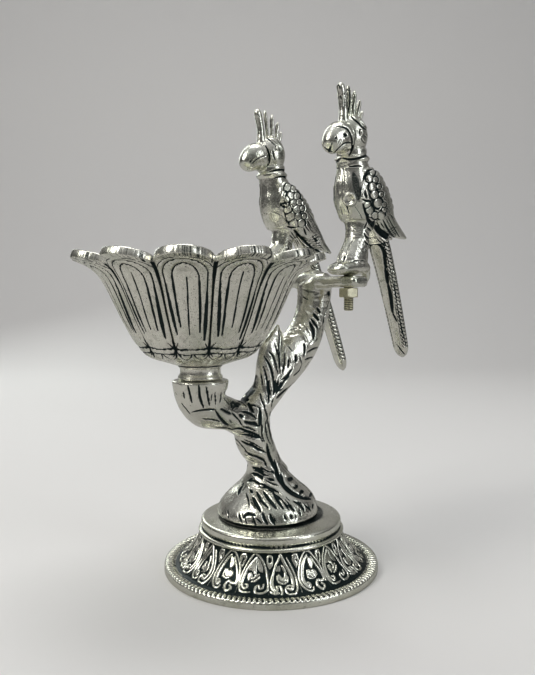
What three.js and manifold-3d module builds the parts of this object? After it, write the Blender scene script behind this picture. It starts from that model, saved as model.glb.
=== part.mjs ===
// Diya stand: a lotus bowl on a branching trunk with two crested birds on a perch.
// Millimetres, +Z up. The stand is laid out from the axis of its round base,
// with the bowl towards -X and the perch bar along Y on the +X side.
import * as THREE from 'three';
import Module from 'manifold-3d';
import { mergeVertices } from 'three/addons/utils/BufferGeometryUtils.js';

const wasm = await Module();
wasm.setup();

// Clearance between pieces that touch on the real object
const GAP = 0.3;

// Base
const BASE_RADIUS = 42.5;
const RIM_WIDTH = 3.6;
const RIM_HEIGHT = 3.2;
const SKIRT_TOP_RADIUS = 28.1;
const SKIRT_TOP_HEIGHT = 14.6;
const BEAD_RADIUS = 0.8;
const STEP_RADIUS = 27.8;
const STEP_HEIGHT = 4.0;
const STEP_ROUND = 1.2;
const DISC_RISE = 0.9;
const BASE_WALL = 2.6;

// Base bolt and washer
const BOLT_RADIUS = 3.0;
const BOLT_GRIP = 12.0;
const BOLT_HEAD_FLATS = 10.0;
const BOLT_HEAD_HEIGHT = 4.0;
const WASHER_RADIUS = 6.0;
const WASHER_THICKNESS = 1.2;

// Trunk
const ROOT_RADIUS = 20.0;
const TRUNK_RADIUS = 6.8;
const BRANCH_RADIUS = 6.9;
const HORN_RADIUS = 5.9;
const SOCKET_RADIUS = 10.3;
const SOCKET_HEIGHT = 77.2;
const LEAF_HALF_WIDTH = 5.8;

// Perch
const PERCH_OFFSET = 24.1;
const PERCH_HEIGHT = 115.2;
const PERCH_THICKNESS = 4.4;
const PERCH_HALF_WIDTH = 4.4;
const PERCH_MIDDLE_HALF_WIDTH = 5.6;
const PERCH_OVERHANG = 6.9;
const PERCH_HUMP = 3.0;
const PERCH_BEVEL = 0.7;
const FRONT_REACH = 19.4;
const REAR_REACH = 29.5;
const HUMP_REACH = 10.5;
const HUMP_SHIFT = 1.0;

// Bowl
const BOWL_OFFSET = 33.5;
const PETALS = 12;
const PETAL_TURN = 3.3;
const BOWL_RADIUS = 45.8;
const BOWL_DEPTH = 38.0;
const NOTCH_DEPTH = 7.6;
const PETAL_GROOVE = 0.8;
const BOWL_WALL = 2.7;
const BOWL_FLOOR_RADIUS = 12.0;
const COLLAR_RADIUS = 7.4;
const COLLAR_FOOT_RADIUS = 8.2;
const COLLAR_HEIGHT = 5.2;

// Bowl screw and washer
const SCREW_RADIUS = 2.0;
const SCREW_GRIP = 8.0;
const SCREW_HEAD_RADIUS = 4.0;
const SCREW_HEAD_HEIGHT = 2.4;
const SCREW_WASHER_RADIUS = 5.0;
const SCREW_WASHER_THICKNESS = 1.0;

// Birds
const HEAD_RADIUS = 6.3;
const BEAK_LENGTH = 8.4;
const CREST_HEIGHT = 12.4;
const CREST_FEATHERS = 6;
const CREST_FEATHER_RADIUS = 0.85;
const NECK_RADIUS = 6.2;
const NECK_RING = 0.9;
const BODY_RADIUS = 9.2;
const LEG_RADIUS = 4.9;
const WING_THICKNESS = 1.9;
const TAIL_HALF_WIDTH = 4.9;
const FOOT_LENGTH = 22.4;
const FOOT_HALF_WIDTH = 5.3;
const STUD_RADIUS = 2.0;
const STUD_DEPTH = 6.0;
const STUD_LENGTH = 19.6;
const NUT_FLATS = 7.0;
const NUT_HEIGHT = 3.7;
const FRONT_BIRD = { turn: 8, stance: 0, wingTip: [36.6, 16.6], tailTip: [41.0, -35.0] };
const REAR_BIRD = { turn: -3, stance: 1.8, wingTip: [34.0, 12.0], tailTip: [45.6, -44.6] };

// Mesh resolution
const ROUND_SIDES = 40;
const PIN_SIDES = 16;
const FACETS_PER_PETAL = 6;

// Heights and places that follow from the sizes above
const STEP_TOP = SKIRT_TOP_HEIGHT + 2 * BEAD_RADIUS + STEP_HEIGHT;
const SEAT_HEIGHT = STEP_TOP + DISC_RISE;
const ROOT_BOTTOM = SEAT_HEIGHT + GAP;
const BASE_CEILING = SEAT_HEIGHT - BASE_WALL;
const COLLAR_BOTTOM = SOCKET_HEIGHT + GAP;
const BOWL_BOTTOM = COLLAR_BOTTOM + COLLAR_HEIGHT;
const BOWL_FLOOR = BOWL_BOTTOM + BOWL_WALL + 0.9;
const PERCH_BOTTOM = PERCH_HEIGHT - PERCH_THICKNESS;
const FRONT_STUD_Y = -FRONT_REACH;
const REAR_STUD_Y = REAR_REACH;

const silver = { color: 0xb9beae, metalness: 0.9, roughness: 0.38 };
const polished = { color: 0xc6cabb, metalness: 0.95, roughness: 0.26 };
const zinc = { color: 0xb8b08a, metalness: 0.85, roughness: 0.4 };

// Closed mesh to solid: only positions are kept, shared points are merged
function solid(geometry) {
  const bare = geometry.clone();
  bare.deleteAttribute('normal');
  bare.deleteAttribute('uv');
  const merged = mergeVertices(bare, 1e-4);
  const index = Array.from(merged.index.array);
  const triangles = [];
  for (let i = 0; i < index.length; i += 3) {
    const [a, b, c] = index.slice(i, i + 3);
    if (a !== b && b !== c && c !== a) triangles.push(a, b, c);
  }
  return new wasm.Manifold(new wasm.Mesh({
    numProp: 3,
    vertProperties: new Float32Array(merged.attributes.position.array),
    triVerts: new Uint32Array(triangles),
  }));
}

function join(solids) {
  return solids.reduce((whole, piece) => whole.add(piece));
}

function mesh(name, body, look) {
  const result = body.getMesh();
  const geometry = new THREE.BufferGeometry();
  const position = new THREE.BufferAttribute(new Float32Array(result.vertProperties), 3);
  geometry.setAttribute('position', position);
  geometry.setIndex(new THREE.BufferAttribute(new Uint32Array(result.triVerts), 1));
  geometry.computeVertexNormals();
  const piece = new THREE.Mesh(geometry, new THREE.MeshStandardMaterial(look));
  piece.name = name;
  return piece;
}

// Upright round bar from one height to another
function bar(radius, bottom, top, sides = PIN_SIDES) {
  const geometry = new THREE.CylinderGeometry(radius, radius, top - bottom, sides);
  geometry.rotateX(Math.PI / 2);
  geometry.translate(0, 0, (bottom + top) / 2);
  return geometry;
}

function hexBar(flats, bottom, top) {
  return bar(flats / Math.sqrt(3), bottom, top, 6);
}

// Turned piece: the profile is a list of [radius, height]
function turned(profile, sides = ROUND_SIDES) {
  const geometry = new THREE.LatheGeometry(profile.map(([r, z]) => new THREE.Vector2(r, z)), sides);
  geometry.rotateX(Math.PI / 2);
  return geometry;
}

// Tube of oval sections through stations [x, y, z, half size across, half size along side].
// The side direction stays level with the section, and an end rounds off over its share.
function loft(stations, options = {}) {
  const { side = [0, 1, 0], sides = 12, steps = 12, startRound = 0, endRound = 0 } = options;
  const points = stations.map(([x, y, z]) => new THREE.Vector3(x, y, z));
  const sizes = stations.map(([, , , across, along]) => new THREE.Vector3(across, along, 0));
  const path = new THREE.CatmullRomCurve3(points, false, 'catmullrom');
  const size = new THREE.CatmullRomCurve3(sizes, false, 'catmullrom');
  const geometry = new THREE.CylinderGeometry(1, 1, 1, sides, steps);
  const place = geometry.attributes.position;
  const smallest = 0.12;
  for (let i = 0; i < place.count; i += 1) {
    const share = place.getY(i) + 0.5;
    const centre = path.getPoint(share);
    const tangent = path.getTangent(share);
    const level = new THREE.Vector3(...side);
    level.addScaledVector(tangent, -level.dot(tangent)).normalize();
    const across = new THREE.Vector3().crossVectors(tangent, level);
    const half = size.getPoint(share);
    const scale = Math.max(smallest, endScale(share, startRound) * endScale(1 - share, endRound));
    centre.addScaledVector(across, place.getX(i) * half.x * scale);
    centre.addScaledVector(level, place.getZ(i) * half.y * scale);
    place.setXYZ(i, centre.x, centre.y, centre.z);
  }
  return solid(geometry);
}

function endScale(share, round) {
  if (round === 0 || share >= round) return 1;
  const rest = 1 - share / round;
  return Math.sqrt(Math.max(0, 1 - rest * rest));
}

// Everything of a solid below or above a height
function slab(bottom, top) {
  const reach = 400;
  const geometry = new THREE.BoxGeometry(reach, reach, top - bottom);
  geometry.translate(0, 0, (bottom + top) / 2);
  return solid(geometry);
}

// Concave skirt between the rim valley and the bead ring
function skirtPoints(steps) {
  const valley = new THREE.Vector2(BASE_RADIUS - RIM_WIDTH - 1.2, RIM_HEIGHT - 0.8);
  const top = new THREE.Vector2(SKIRT_TOP_RADIUS, SKIRT_TOP_HEIGHT);
  const pull = new THREE.Vector2(SKIRT_TOP_RADIUS + 2.6, RIM_HEIGHT + 3.4);
  return new THREE.QuadraticBezierCurve(valley, pull, top).getPoints(steps).map((p) => [p.x, p.y]);
}

function roundedCorner(radius, height, round, steps) {
  const points = [];
  for (let i = 0; i <= steps; i += 1) {
    const angle = (Math.PI / 2) * (i / steps);
    points.push([radius - round + round * Math.cos(angle), height - round + round * Math.sin(angle)]);
  }
  return points;
}

function makeBase() {
  const hole = BOLT_RADIUS + GAP;
  const beadMiddle = SKIRT_TOP_HEIGHT + BEAD_RADIUS;
  const outside = [
    [BASE_RADIUS, 0],
    ...roundedCorner(BASE_RADIUS, RIM_HEIGHT, 0.8, 1),
    [BASE_RADIUS - RIM_WIDTH, RIM_HEIGHT],
    ...skirtPoints(4),
    [SKIRT_TOP_RADIUS + BEAD_RADIUS, beadMiddle],
    [STEP_RADIUS - 0.4, SKIRT_TOP_HEIGHT + 2 * BEAD_RADIUS],
    ...roundedCorner(STEP_RADIUS, STEP_TOP, STEP_ROUND, 2),
    [ROOT_RADIUS, SEAT_HEIGHT],
    [hole, SEAT_HEIGHT],
  ];
  const inside = [
    [hole, BASE_CEILING],
    [STEP_RADIUS - BASE_WALL - 1, BASE_CEILING],
    [STEP_RADIUS - BASE_WALL, SKIRT_TOP_HEIGHT],
    ...skirtPoints(3).reverse().slice(1, 3).map(([r, z]) => [r - BASE_WALL, z]),
    [BASE_RADIUS - RIM_WIDTH - 1.2, 0],
  ];
  const loop = [...outside, ...inside];
  return solid(turned([...loop, loop[0]]));
}

function makeBaseBolt() {
  const headTop = BASE_CEILING - WASHER_THICKNESS - 2 * GAP;
  const head = solid(hexBar(BOLT_HEAD_FLATS, headTop - BOLT_HEAD_HEIGHT, headTop));
  const shank = solid(bar(BOLT_RADIUS, headTop - 1, ROOT_BOTTOM + BOLT_GRIP));
  return head.add(shank);
}

function makeBaseWasher() {
  const top = BASE_CEILING - GAP;
  const disc = solid(bar(WASHER_RADIUS, top - WASHER_THICKNESS, top));
  return disc.subtract(solid(bar(BOLT_RADIUS + GAP, top - 2 * WASHER_THICKNESS, top + 1)));
}

// Lopsided root mound that runs up into the leaning trunk and the bird branch
function makeRoot() {
  const stations = [
    [-0.04, -1.5, 0.86, 0.86],
    [-0.08, 0.6, 0.99, 0.99],
    [-0.09, 2.5, 0.99, 0.98],
    [-0.075, 4.8, 0.95, 0.95],
    [-0.05, 7.2, 0.87, 0.87],
    [-0.045, 9.6, 0.75, 0.75],
    [-0.045, 12.2, 0.6, 0.61],
    [-0.08, 15.8, 0.44, 0.45],
    [-0.14, 19.6, 0.35, 0.36],
  ].map(([offset, rise, across, along]) => {
    const height = ROOT_BOTTOM + rise;
    return [offset * ROOT_RADIUS, 0, height, across * ROOT_RADIUS, along * ROOT_RADIUS];
  });
  return loft(stations, { sides: 20, steps: 11 });
}

// Place and half sizes of a trunk section, as shares of the perch's offset, the rise to it
// and the trunk's radius
function trunkStation([offset, rise, across, along]) {
  const height = ROOT_BOTTOM + rise * (PERCH_BOTTOM - ROOT_BOTTOM);
  return [offset * PERCH_OFFSET, 0, height, across * TRUNK_RADIUS, along * TRUNK_RADIUS];
}

function makeTrunk() {
  const stations = [
    [-0.066, 0.174, 1.24, 1.26],
    [-0.12, 0.214, 1.01, 1.03],
    [-0.166, 0.247, 0.94, 0.96],
    [-0.241, 0.286, 0.97, 0.96],
    [-0.332, 0.326, 1.07, 0.97],
    [-0.39, 0.37, 1.1, 0.97],
    [-0.398, 0.415, 1.09, 0.96],
    [-0.373, 0.452, 1.03, 0.96],
    [-0.299, 0.485, 0.93, 0.97],
    [-0.178, 0.516, 0.85, 1],
    [-0.037, 0.554, 0.9, 1],
    [0.116, 0.604, 1.06, 1.03],
    [0.307, 0.655, 1.21, 1.04],
    [0.498, 0.702, 1.22, 1.04],
    [0.689, 0.756, 1.16, 1.04],
    [0.83, 0.814, 1.04, 1.01],
    [0.929, 0.877, 1, 1],
    [0.988, 0.937, 1.01, 1.01],
  ].map(trunkStation);
  const top = [
    [PERCH_OFFSET, 0.1, PERCH_BOTTOM + 1, BRANCH_RADIUS, 1.07 * BRANCH_RADIUS],
    [PERCH_OFFSET - 0.1, 0.9, PERCH_HEIGHT - 0.8, 0.77 * BRANCH_RADIUS, 1.12 * BRANCH_RADIUS],
  ];
  return loft([...stations, ...top], { sides: 14, steps: 24 });
}

// Horn-shaped branch that carries the bowl, with a flat-topped socket
function makeHorn() {
  const socket = [2, -1].map((rise) => {
    return [-BOWL_OFFSET, 0, SOCKET_HEIGHT + rise, SOCKET_RADIUS, SOCKET_RADIUS];
  });
  const stations = [
    [-0.997, 4.8, 1.63, 1.61],
    [-0.964, 7.8, 1.56, 1.49],
    [-0.896, 10.9, 1.49, 1.39],
    [-0.776, 13.3, 1.29, 1.22],
    [-0.609, 14.8, 1.07, 1.07],
    [-0.406, 17, 1, 1],
    [-0.239, 20.8, 1, 1],
  ].map(([offset, drop, across, along]) => {
    return [offset * BOWL_OFFSET, 0, SOCKET_HEIGHT - drop, across * HORN_RADIUS, along * HORN_RADIUS];
  });
  const horn = loft([...socket, ...stations], { sides: 14, steps: 13 });
  return horn.subtract(slab(SOCKET_HEIGHT, SOCKET_HEIGHT + 12));
}

function makeLeaf() {
  const stations = [
    [-0.249, -0.8, 0.499, 0.72, 0.9],
    [-0.178, -1, 0.544, 0.76, 0.86],
    [-0.133, -1.4, 0.597, 0.81, 0.79],
    [-0.091, -1.9, 0.655, 1, 0.74],
    [-0.054, -2.2, 0.719, 0.97, 0.62],
    [0.021, -2.5, 0.77, 0.76, 0.45],
    [0.071, -2.6, 0.837, 0.07, 0.09],
  ].map(([offset, y, rise, across, along]) => {
    const [x, , height] = trunkStation([offset, rise, 0, 0]);
    return [x, y, height, across * LEAF_HALF_WIDTH, along * LEAF_HALF_WIDTH];
  });
  return loft(stations, { sides: 8, steps: 8 });
}

// Flat bar along Y: narrower at its ends than at the middle, with a hump over the branch
function makePerch() {
  const front = FRONT_STUD_Y - PERCH_OVERHANG;
  const rear = REAR_STUD_Y + PERCH_OVERHANG;
  const end = PERCH_HALF_WIDTH - PERCH_BEVEL;
  const middle = PERCH_MIDDLE_HALF_WIDTH - PERCH_BEVEL;
  const plan = new THREE.Shape();
  plan.moveTo(-end, front + PERCH_BEVEL);
  plan.lineTo(end, front + PERCH_BEVEL);
  plan.lineTo(end, FRONT_STUD_Y);
  plan.quadraticCurveTo(middle, HUMP_SHIFT - HUMP_REACH, middle, HUMP_SHIFT);
  plan.quadraticCurveTo(middle, HUMP_SHIFT + HUMP_REACH, end, REAR_STUD_Y);
  plan.lineTo(end, rear - PERCH_BEVEL);
  plan.lineTo(-end, rear - PERCH_BEVEL);
  plan.lineTo(-end, REAR_STUD_Y);
  plan.quadraticCurveTo(-middle, HUMP_SHIFT + HUMP_REACH, -middle, HUMP_SHIFT);
  plan.quadraticCurveTo(-middle, HUMP_SHIFT - HUMP_REACH, -end, FRONT_STUD_Y);
  const flat = new THREE.ExtrudeGeometry(plan, {
    depth: PERCH_THICKNESS - 2 * PERCH_BEVEL,
    bevelThickness: PERCH_BEVEL,
    bevelSize: PERCH_BEVEL,
    bevelSegments: 1,
    curveSegments: 5,
  });
  flat.translate(PERCH_OFFSET, 0, PERCH_BOTTOM + PERCH_BEVEL);
  const level = PERCH_HEIGHT - PERCH_THICKNESS / 2;
  const humpHeight = PERCH_THICKNESS / 2 + PERCH_HUMP;
  const shoulder = 0.45 * HUMP_REACH;
  const hump = [
    [PERCH_OFFSET, HUMP_SHIFT - HUMP_REACH, level, 1.6, 4],
    [PERCH_OFFSET, HUMP_SHIFT - shoulder, level, 0.82 * humpHeight, PERCH_MIDDLE_HALF_WIDTH],
    [PERCH_OFFSET, HUMP_SHIFT, level, humpHeight, PERCH_MIDDLE_HALF_WIDTH + 0.4],
    [PERCH_OFFSET, HUMP_SHIFT + shoulder, level, 0.82 * humpHeight, PERCH_MIDDLE_HALF_WIDTH],
    [PERCH_OFFSET, HUMP_SHIFT + HUMP_REACH, level, 1.6, 4],
  ];
  return solid(flat).add(loft(hump, { side: [1, 0, 0], sides: 12, steps: 9 }));
}

function studHole(y) {
  const geometry = bar(STUD_RADIUS + GAP, PERCH_BOTTOM - 3, PERCH_HEIGHT + 3);
  geometry.translate(PERCH_OFFSET, y, 0);
  return solid(geometry);
}

function makeTree() {
  const whole = join([makeRoot(), makeTrunk(), makeHorn(), makeLeaf(), makePerch()]);
  const screwHole = bar(SCREW_RADIUS + GAP, SOCKET_HEIGHT - SCREW_GRIP - 1, SOCKET_HEIGHT + 3);
  screwHole.translate(-BOWL_OFFSET, 0, 0);
  return whole
    .subtract(slab(ROOT_BOTTOM - 12, ROOT_BOTTOM))
    .subtract(solid(bar(BOLT_RADIUS + GAP, ROOT_BOTTOM - 3, ROOT_BOTTOM + BOLT_GRIP + 1)))
    .subtract(solid(screwHole))
    .subtract(studHole(FRONT_STUD_Y))
    .subtract(studHole(REAR_STUD_Y));
}

// Underside of a petal from the collar out to its tip, as shares of the bowl's radius and depth
const petalShares = [
  [0.28, 0.035], [0.385, 0.075], [0.45, 0.125], [0.487, 0.18], [0.527, 0.25],
  [0.565, 0.33], [0.6, 0.41], [0.632, 0.49], [0.663, 0.57], [0.693, 0.65], [0.724, 0.73],
  [0.76, 0.81], [0.805, 0.88], [0.872, 0.94], [0.935, 0.972], [1.0, 1.0],
].map(([r, z]) => [r * BOWL_RADIUS, z * BOWL_DEPTH]);
const petalPoints = [[COLLAR_FOOT_RADIUS + 0.5, 0], ...petalShares].map(([r, z]) => {
  return new THREE.Vector3(r, 0, BOWL_BOTTOM + z);
});
const petalCurve = new THREE.CatmullRomCurve3(petalPoints);

// Point of the bowl wall at a share of the curve, inset by a thickness along its normal
function wallPoint(share, inset) {
  const point = petalCurve.getPointAt(share);
  const tangent = petalCurve.getTangentAt(share);
  return [point.x - tangent.z * inset, point.z + tangent.x * inset];
}

function makeBowlShell() {
  const tipLength = petalCurve.getLength();
  const rows = [0, 0.13, 0.22, 0.34, 0.5, 0.66, 0.78, 0.88, 1];
  const floorRow = 2;
  const outer = rows.map((share) => ({ share, inset: 0 }));
  const inner = rows.slice(floorRow).reverse().map((share) => ({ share, inset: BOWL_WALL }));
  const fixedStart = [[0, BOWL_BOTTOM]];
  const fixedEnd = [[BOWL_FLOOR_RADIUS, BOWL_FLOOR], [0, BOWL_FLOOR]];
  const wall = [...outer, ...inner];
  const profile = [...fixedStart, ...wall.map(({ share, inset }) => wallPoint(share, inset)), ...fixedEnd];
  const sides = PETALS * FACETS_PER_PETAL;
  const geometry = turned(profile, sides);
  geometry.rotateZ(THREE.MathUtils.degToRad(PETAL_TURN));
  const place = geometry.attributes.position;
  for (let side = 0; side <= sides; side += 1) {
    const across = (2 * (side % FACETS_PER_PETAL)) / FACETS_PER_PETAL - 1;
    const valley = Math.abs(across) ** 2.2;
    wall.forEach(({ share, inset }, row) => {
      const i = side * profile.length + fixedStart.length + row;
      const cut = (valley * NOTCH_DEPTH) / tipLength;
      const [radius, height] = wallPoint(share * (1 - cut * Math.min(1, 2 * share)), inset);
      const groove = inset === 0 ? PETAL_GROOVE * Math.abs(across) ** 4 * Math.min(1, 4 * share) : 0;
      const angle = Math.atan2(place.getY(i), place.getX(i));
      place.setXYZ(i, (radius - groove) * Math.cos(angle), (radius - groove) * Math.sin(angle), height);
    });
  }
  return solid(geometry);
}

function makeBowl() {
  const collar = solid(turned([
    [0, COLLAR_BOTTOM],
    [COLLAR_FOOT_RADIUS - 0.3, COLLAR_BOTTOM],
    [COLLAR_FOOT_RADIUS, COLLAR_BOTTOM + 0.6],
    [COLLAR_FOOT_RADIUS, COLLAR_BOTTOM + 1.1],
    [COLLAR_RADIUS, COLLAR_BOTTOM + 2.3],
    [COLLAR_RADIUS, COLLAR_BOTTOM + 0.75 * COLLAR_HEIGHT],
    [COLLAR_FOOT_RADIUS, BOWL_BOTTOM],
    [COLLAR_FOOT_RADIUS, BOWL_BOTTOM + 1],
    [0, BOWL_BOTTOM + 1],
  ], 24));
  const hole = solid(bar(SCREW_RADIUS + GAP, COLLAR_BOTTOM - 2, BOWL_FLOOR + 2));
  return makeBowlShell().add(collar).subtract(hole);
}

function makeBowlWasher() {
  const bottom = BOWL_FLOOR + GAP;
  const disc = solid(bar(SCREW_WASHER_RADIUS, bottom, bottom + SCREW_WASHER_THICKNESS));
  return disc.subtract(solid(bar(SCREW_RADIUS + GAP, bottom - 1, bottom + 2 * SCREW_WASHER_THICKNESS)));
}

function makeBowlScrew() {
  const seat = BOWL_FLOOR + SCREW_WASHER_THICKNESS + 2 * GAP;
  const head = solid(turned([
    [0, seat],
    [SCREW_HEAD_RADIUS, seat],
    [SCREW_HEAD_RADIUS, seat + 0.6 * SCREW_HEAD_HEIGHT],
    [0.7 * SCREW_HEAD_RADIUS, seat + SCREW_HEAD_HEIGHT],
    [0, seat + SCREW_HEAD_HEIGHT],
  ], PIN_SIDES));
  const slotDepth = 1.1;
  const slot = new THREE.BoxGeometry(3 * SCREW_HEAD_RADIUS, 1.1, 2 * slotDepth);
  slot.translate(0, 0, seat + SCREW_HEAD_HEIGHT);
  const shank = solid(bar(SCREW_RADIUS, SOCKET_HEIGHT - SCREW_GRIP, seat + 0.8));
  return head.subtract(solid(slot)).add(shank);
}

// A bird stands on its stud's axis at height 0 and faces -X; its stance sets the chest and leg back
function makeBirdBody(stance) {
  const ringHeight = 45.3;
  const body = loft([
    [1.6, 0, 49, 0.98 * NECK_RADIUS, 0.93 * NECK_RADIUS],
    [2.0, 0, 45, NECK_RADIUS, 0.97 * NECK_RADIUS],
    [2.6, 0, 41, 1.1 * NECK_RADIUS, 1.05 * NECK_RADIUS],
    [3.4 + stance, 0, 36.5, 0.93 * BODY_RADIUS, 0.82 * BODY_RADIUS],
    [4.6 + stance, 0, 31, BODY_RADIUS, 0.88 * BODY_RADIUS],
    [6.4 + stance, 0, 25.5, 0.94 * BODY_RADIUS, 0.82 * BODY_RADIUS],
    [7.2 + stance, 0, 21.5, 0.74 * BODY_RADIUS, 0.68 * BODY_RADIUS],
    [6.0 + stance, 0, 17.6, LEG_RADIUS, LEG_RADIUS],
    [5.4 + stance, 0, 13.5, 1.04 * LEG_RADIUS, LEG_RADIUS],
    [4.0 + 0.5 * stance, 0, 9.5, 1.24 * LEG_RADIUS, 1.06 * LEG_RADIUS],
    [2.4, 0, 5.5, 1.5 * LEG_RADIUS, 1.1 * LEG_RADIUS],
    [1.6, 0, 2.5, 1.6 * LEG_RADIUS, LEG_RADIUS],
  ], { sides: 12, steps: 14 });
  const ring = loft([
    [2.0, 0, ringHeight - NECK_RING, NECK_RADIUS + 0.3, NECK_RADIUS + 0.2],
    [1.95, 0, ringHeight, NECK_RADIUS + 0.8, NECK_RADIUS + 0.7],
    [1.9, 0, ringHeight + NECK_RING, NECK_RADIUS + 0.3, NECK_RADIUS + 0.2],
  ], { sides: 12, steps: 2 });
  return body.add(ring);
}

function makeHead() {
  const skull = new THREE.SphereGeometry(HEAD_RADIUS, 12, 8);
  skull.scale(1, 0.95, 1.25);
  skull.translate(1.0, 0, 53.6);
  const root = -4.0;
  const beak = loft([
    [root, 0, 52.6, 5.6, 5.0],
    [root - 0.42 * BEAK_LENGTH, 0, 52.2, 5.3, 4.9],
    [root - 0.8 * BEAK_LENGTH, 0, 50.4, 4.3, 4.0],
    [root - BEAK_LENGTH, 0, 47.2, 1.9, 2.2],
  ], { sides: 8, steps: 6, endRound: 0.35 });
  return solid(skull).add(beak);
}

// Upright feathers in a fan from front to back, the front one tallest with a knobbed tip
function makeCrest() {
  const root = 58.6;
  const feathers = [];
  for (let i = 0; i < CREST_FEATHERS; i += 1) {
    const share = i / (CREST_FEATHERS - 1);
    const x = -4.6 + 9.6 * share;
    const tipX = -7.4 + 15.0 * share;
    const tip = root + 2.6 + CREST_HEIGHT * (1 - 0.52 * share ** 2);
    const thick = CREST_FEATHER_RADIUS * (i === 0 ? 1.7 : 1);
    const knob = i === 0 ? 1.25 : 1.05;
    feathers.push(loft([
      [x, 0, root, 1.25 * thick, 1.5 * thick],
      [x + 0.35 * (tipX - x), 0, root + 0.45 * (tip - root), thick, 1.25 * thick],
      [x + 0.8 * (tipX - x), 0, root + 0.82 * (tip - root), thick, 1.1 * thick],
      [tipX, 0, tip, knob * thick, knob * thick],
    ], { sides: 6, steps: 4, endRound: 0.2 }));
  }
  return join(feathers);
}

function makeWing(hand, [tipX, tipZ]) {
  const middleX = 20.2;
  return loft([
    [2.8, hand * 4.6, 42.6, 2.2, WING_THICKNESS],
    [5.8, hand * 6.6, 37, 5.4, 1.2 * WING_THICKNESS],
    [10.0, hand * 7.2, 31, 6.8, 1.2 * WING_THICKNESS],
    [14.8, hand * 6.8, 25.6, 6.3, 1.1 * WING_THICKNESS],
    [middleX, hand * 5.6, 21.4, 4.5, WING_THICKNESS],
    [0.5 * (middleX + tipX), hand * 4.4, 0.4 * 21.4 + 0.6 * tipZ, 2.6, 0.8 * WING_THICKNESS],
    [tipX, hand * 3.4, tipZ, 0.6, 0.7],
  ], { sides: 8, steps: 8, startRound: 0.12 });
}

function makeTail([tipX, tipZ]) {
  const bend = new THREE.QuadraticBezierCurve(
    new THREE.Vector2(14.0, 24.5),
    new THREE.Vector2(22.5, 17.0),
    new THREE.Vector2(tipX, tipZ),
  );
  const stations = [];
  const count = 7;
  for (let i = 0; i < count; i += 1) {
    const share = i / (count - 1);
    const point = bend.getPoint(share);
    const width = TAIL_HALF_WIDTH * (1 - 0.4 * share ** 2);
    stations.push([point.x, 0, point.y, 3.6 - 1.5 * share, width]);
  }
  return loft(stations, { sides: 8, steps: 10, endRound: 0.12 });
}

// Foot with rounded toes in front and a hind claw that hangs behind the perch
function makeFoot() {
  const heel = 0.54 * FOOT_LENGTH;
  const toe = heel - FOOT_LENGTH;
  const sole = loft([
    [heel, 0, 3.2, 2.4, 0.72 * FOOT_HALF_WIDTH],
    [4.0, 0, 3.6, 3.4, FOOT_HALF_WIDTH],
    [-2.0, 0, 3.3, 3.2, FOOT_HALF_WIDTH],
    [-7.0, 0, 2.6, 2.5, 0.9 * FOOT_HALF_WIDTH],
    [toe, 0, 1.8, 1.6, 0.7 * FOOT_HALF_WIDTH],
  ], { sides: 10, steps: 8, startRound: 0.15, endRound: 0.2 });
  const claw = loft([
    [7.0, 0, 5.0, 1.8, 2.4],
    [10.4, 0, 4.2, 1.7, 2.2],
    [12.0, 0, 1.0, 1.5, 1.9],
    [11.8, 0, -2.8, 0.9, 1.2],
  ], { sides: 6, steps: 5, endRound: 0.2 });
  return sole.subtract(slab(-9, GAP)).add(claw);
}

function makeBird(bird) {
  const wings = [-1, 1].map((hand) => makeWing(hand, bird.wingTip));
  const body = [makeBirdBody(bird.stance), makeHead(), makeCrest()];
  const whole = join([...body, ...wings, makeTail(bird.tailTip)]);
  const hole = solid(bar(STUD_RADIUS + GAP, -3, STUD_DEPTH + GAP));
  const belowFoot = solid(bar(2 * LEG_RADIUS, -9, GAP));
  return whole.subtract(belowFoot).add(makeFoot()).subtract(hole);
}

function makeStud() {
  return solid(bar(STUD_RADIUS, STUD_DEPTH - STUD_LENGTH, STUD_DEPTH));
}

function makeNut() {
  const top = -PERCH_THICKNESS - GAP;
  const hex = solid(hexBar(NUT_FLATS, top - NUT_HEIGHT, top));
  return hex.subtract(solid(bar(STUD_RADIUS + GAP, top - 2 * NUT_HEIGHT, top + 1)));
}

// Bird, stud and nut turn together about the stud's axis on the perch
function birdGroup(side, studY, bird) {
  const group = new THREE.Group();
  group.position.set(PERCH_OFFSET, studY, PERCH_HEIGHT);
  group.rotation.z = THREE.MathUtils.degToRad(bird.turn);
  group.add(mesh(`bird_${side}`, makeBird(bird), silver));
  group.add(mesh(`stud_${side}`, makeStud(), zinc));
  group.add(mesh(`nut_${side}`, makeNut(), zinc));
  return group;
}

const bowlGroup = new THREE.Group();
bowlGroup.position.x = -BOWL_OFFSET;
bowlGroup.add(mesh('bowl', makeBowl(), silver));
bowlGroup.add(mesh('bowl_washer', makeBowlWasher(), zinc));
bowlGroup.add(mesh('bowl_screw', makeBowlScrew(), zinc));

const stand = new THREE.Group();
stand.add(mesh('base', makeBase(), polished));
stand.add(mesh('base_washer', makeBaseWasher(), zinc));
stand.add(mesh('base_bolt', makeBaseBolt(), zinc));
stand.add(mesh('trunk', makeTree(), silver));
stand.add(bowlGroup);
stand.add(birdGroup('front', FRONT_STUD_Y, FRONT_BIRD));
stand.add(birdGroup('rear', REAR_STUD_Y, REAR_BIRD));

// The origin goes to the middle of the stand's outline, on the surface it stands on
stand.updateMatrixWorld(true);
const outline = new THREE.Box3().setFromObject(stand, true);
const middle = outline.getCenter(new THREE.Vector3());
stand.position.set(-middle.x, -middle.y, -outline.min.z);

export default stand;
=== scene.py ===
"""Looks of the diya stand: carved, cast metal with antique silver over black patina."""
import math

import bpy
import numpy as np
from mathutils import Matrix, Vector
from mathutils.bvhtree import BVHTree


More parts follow.
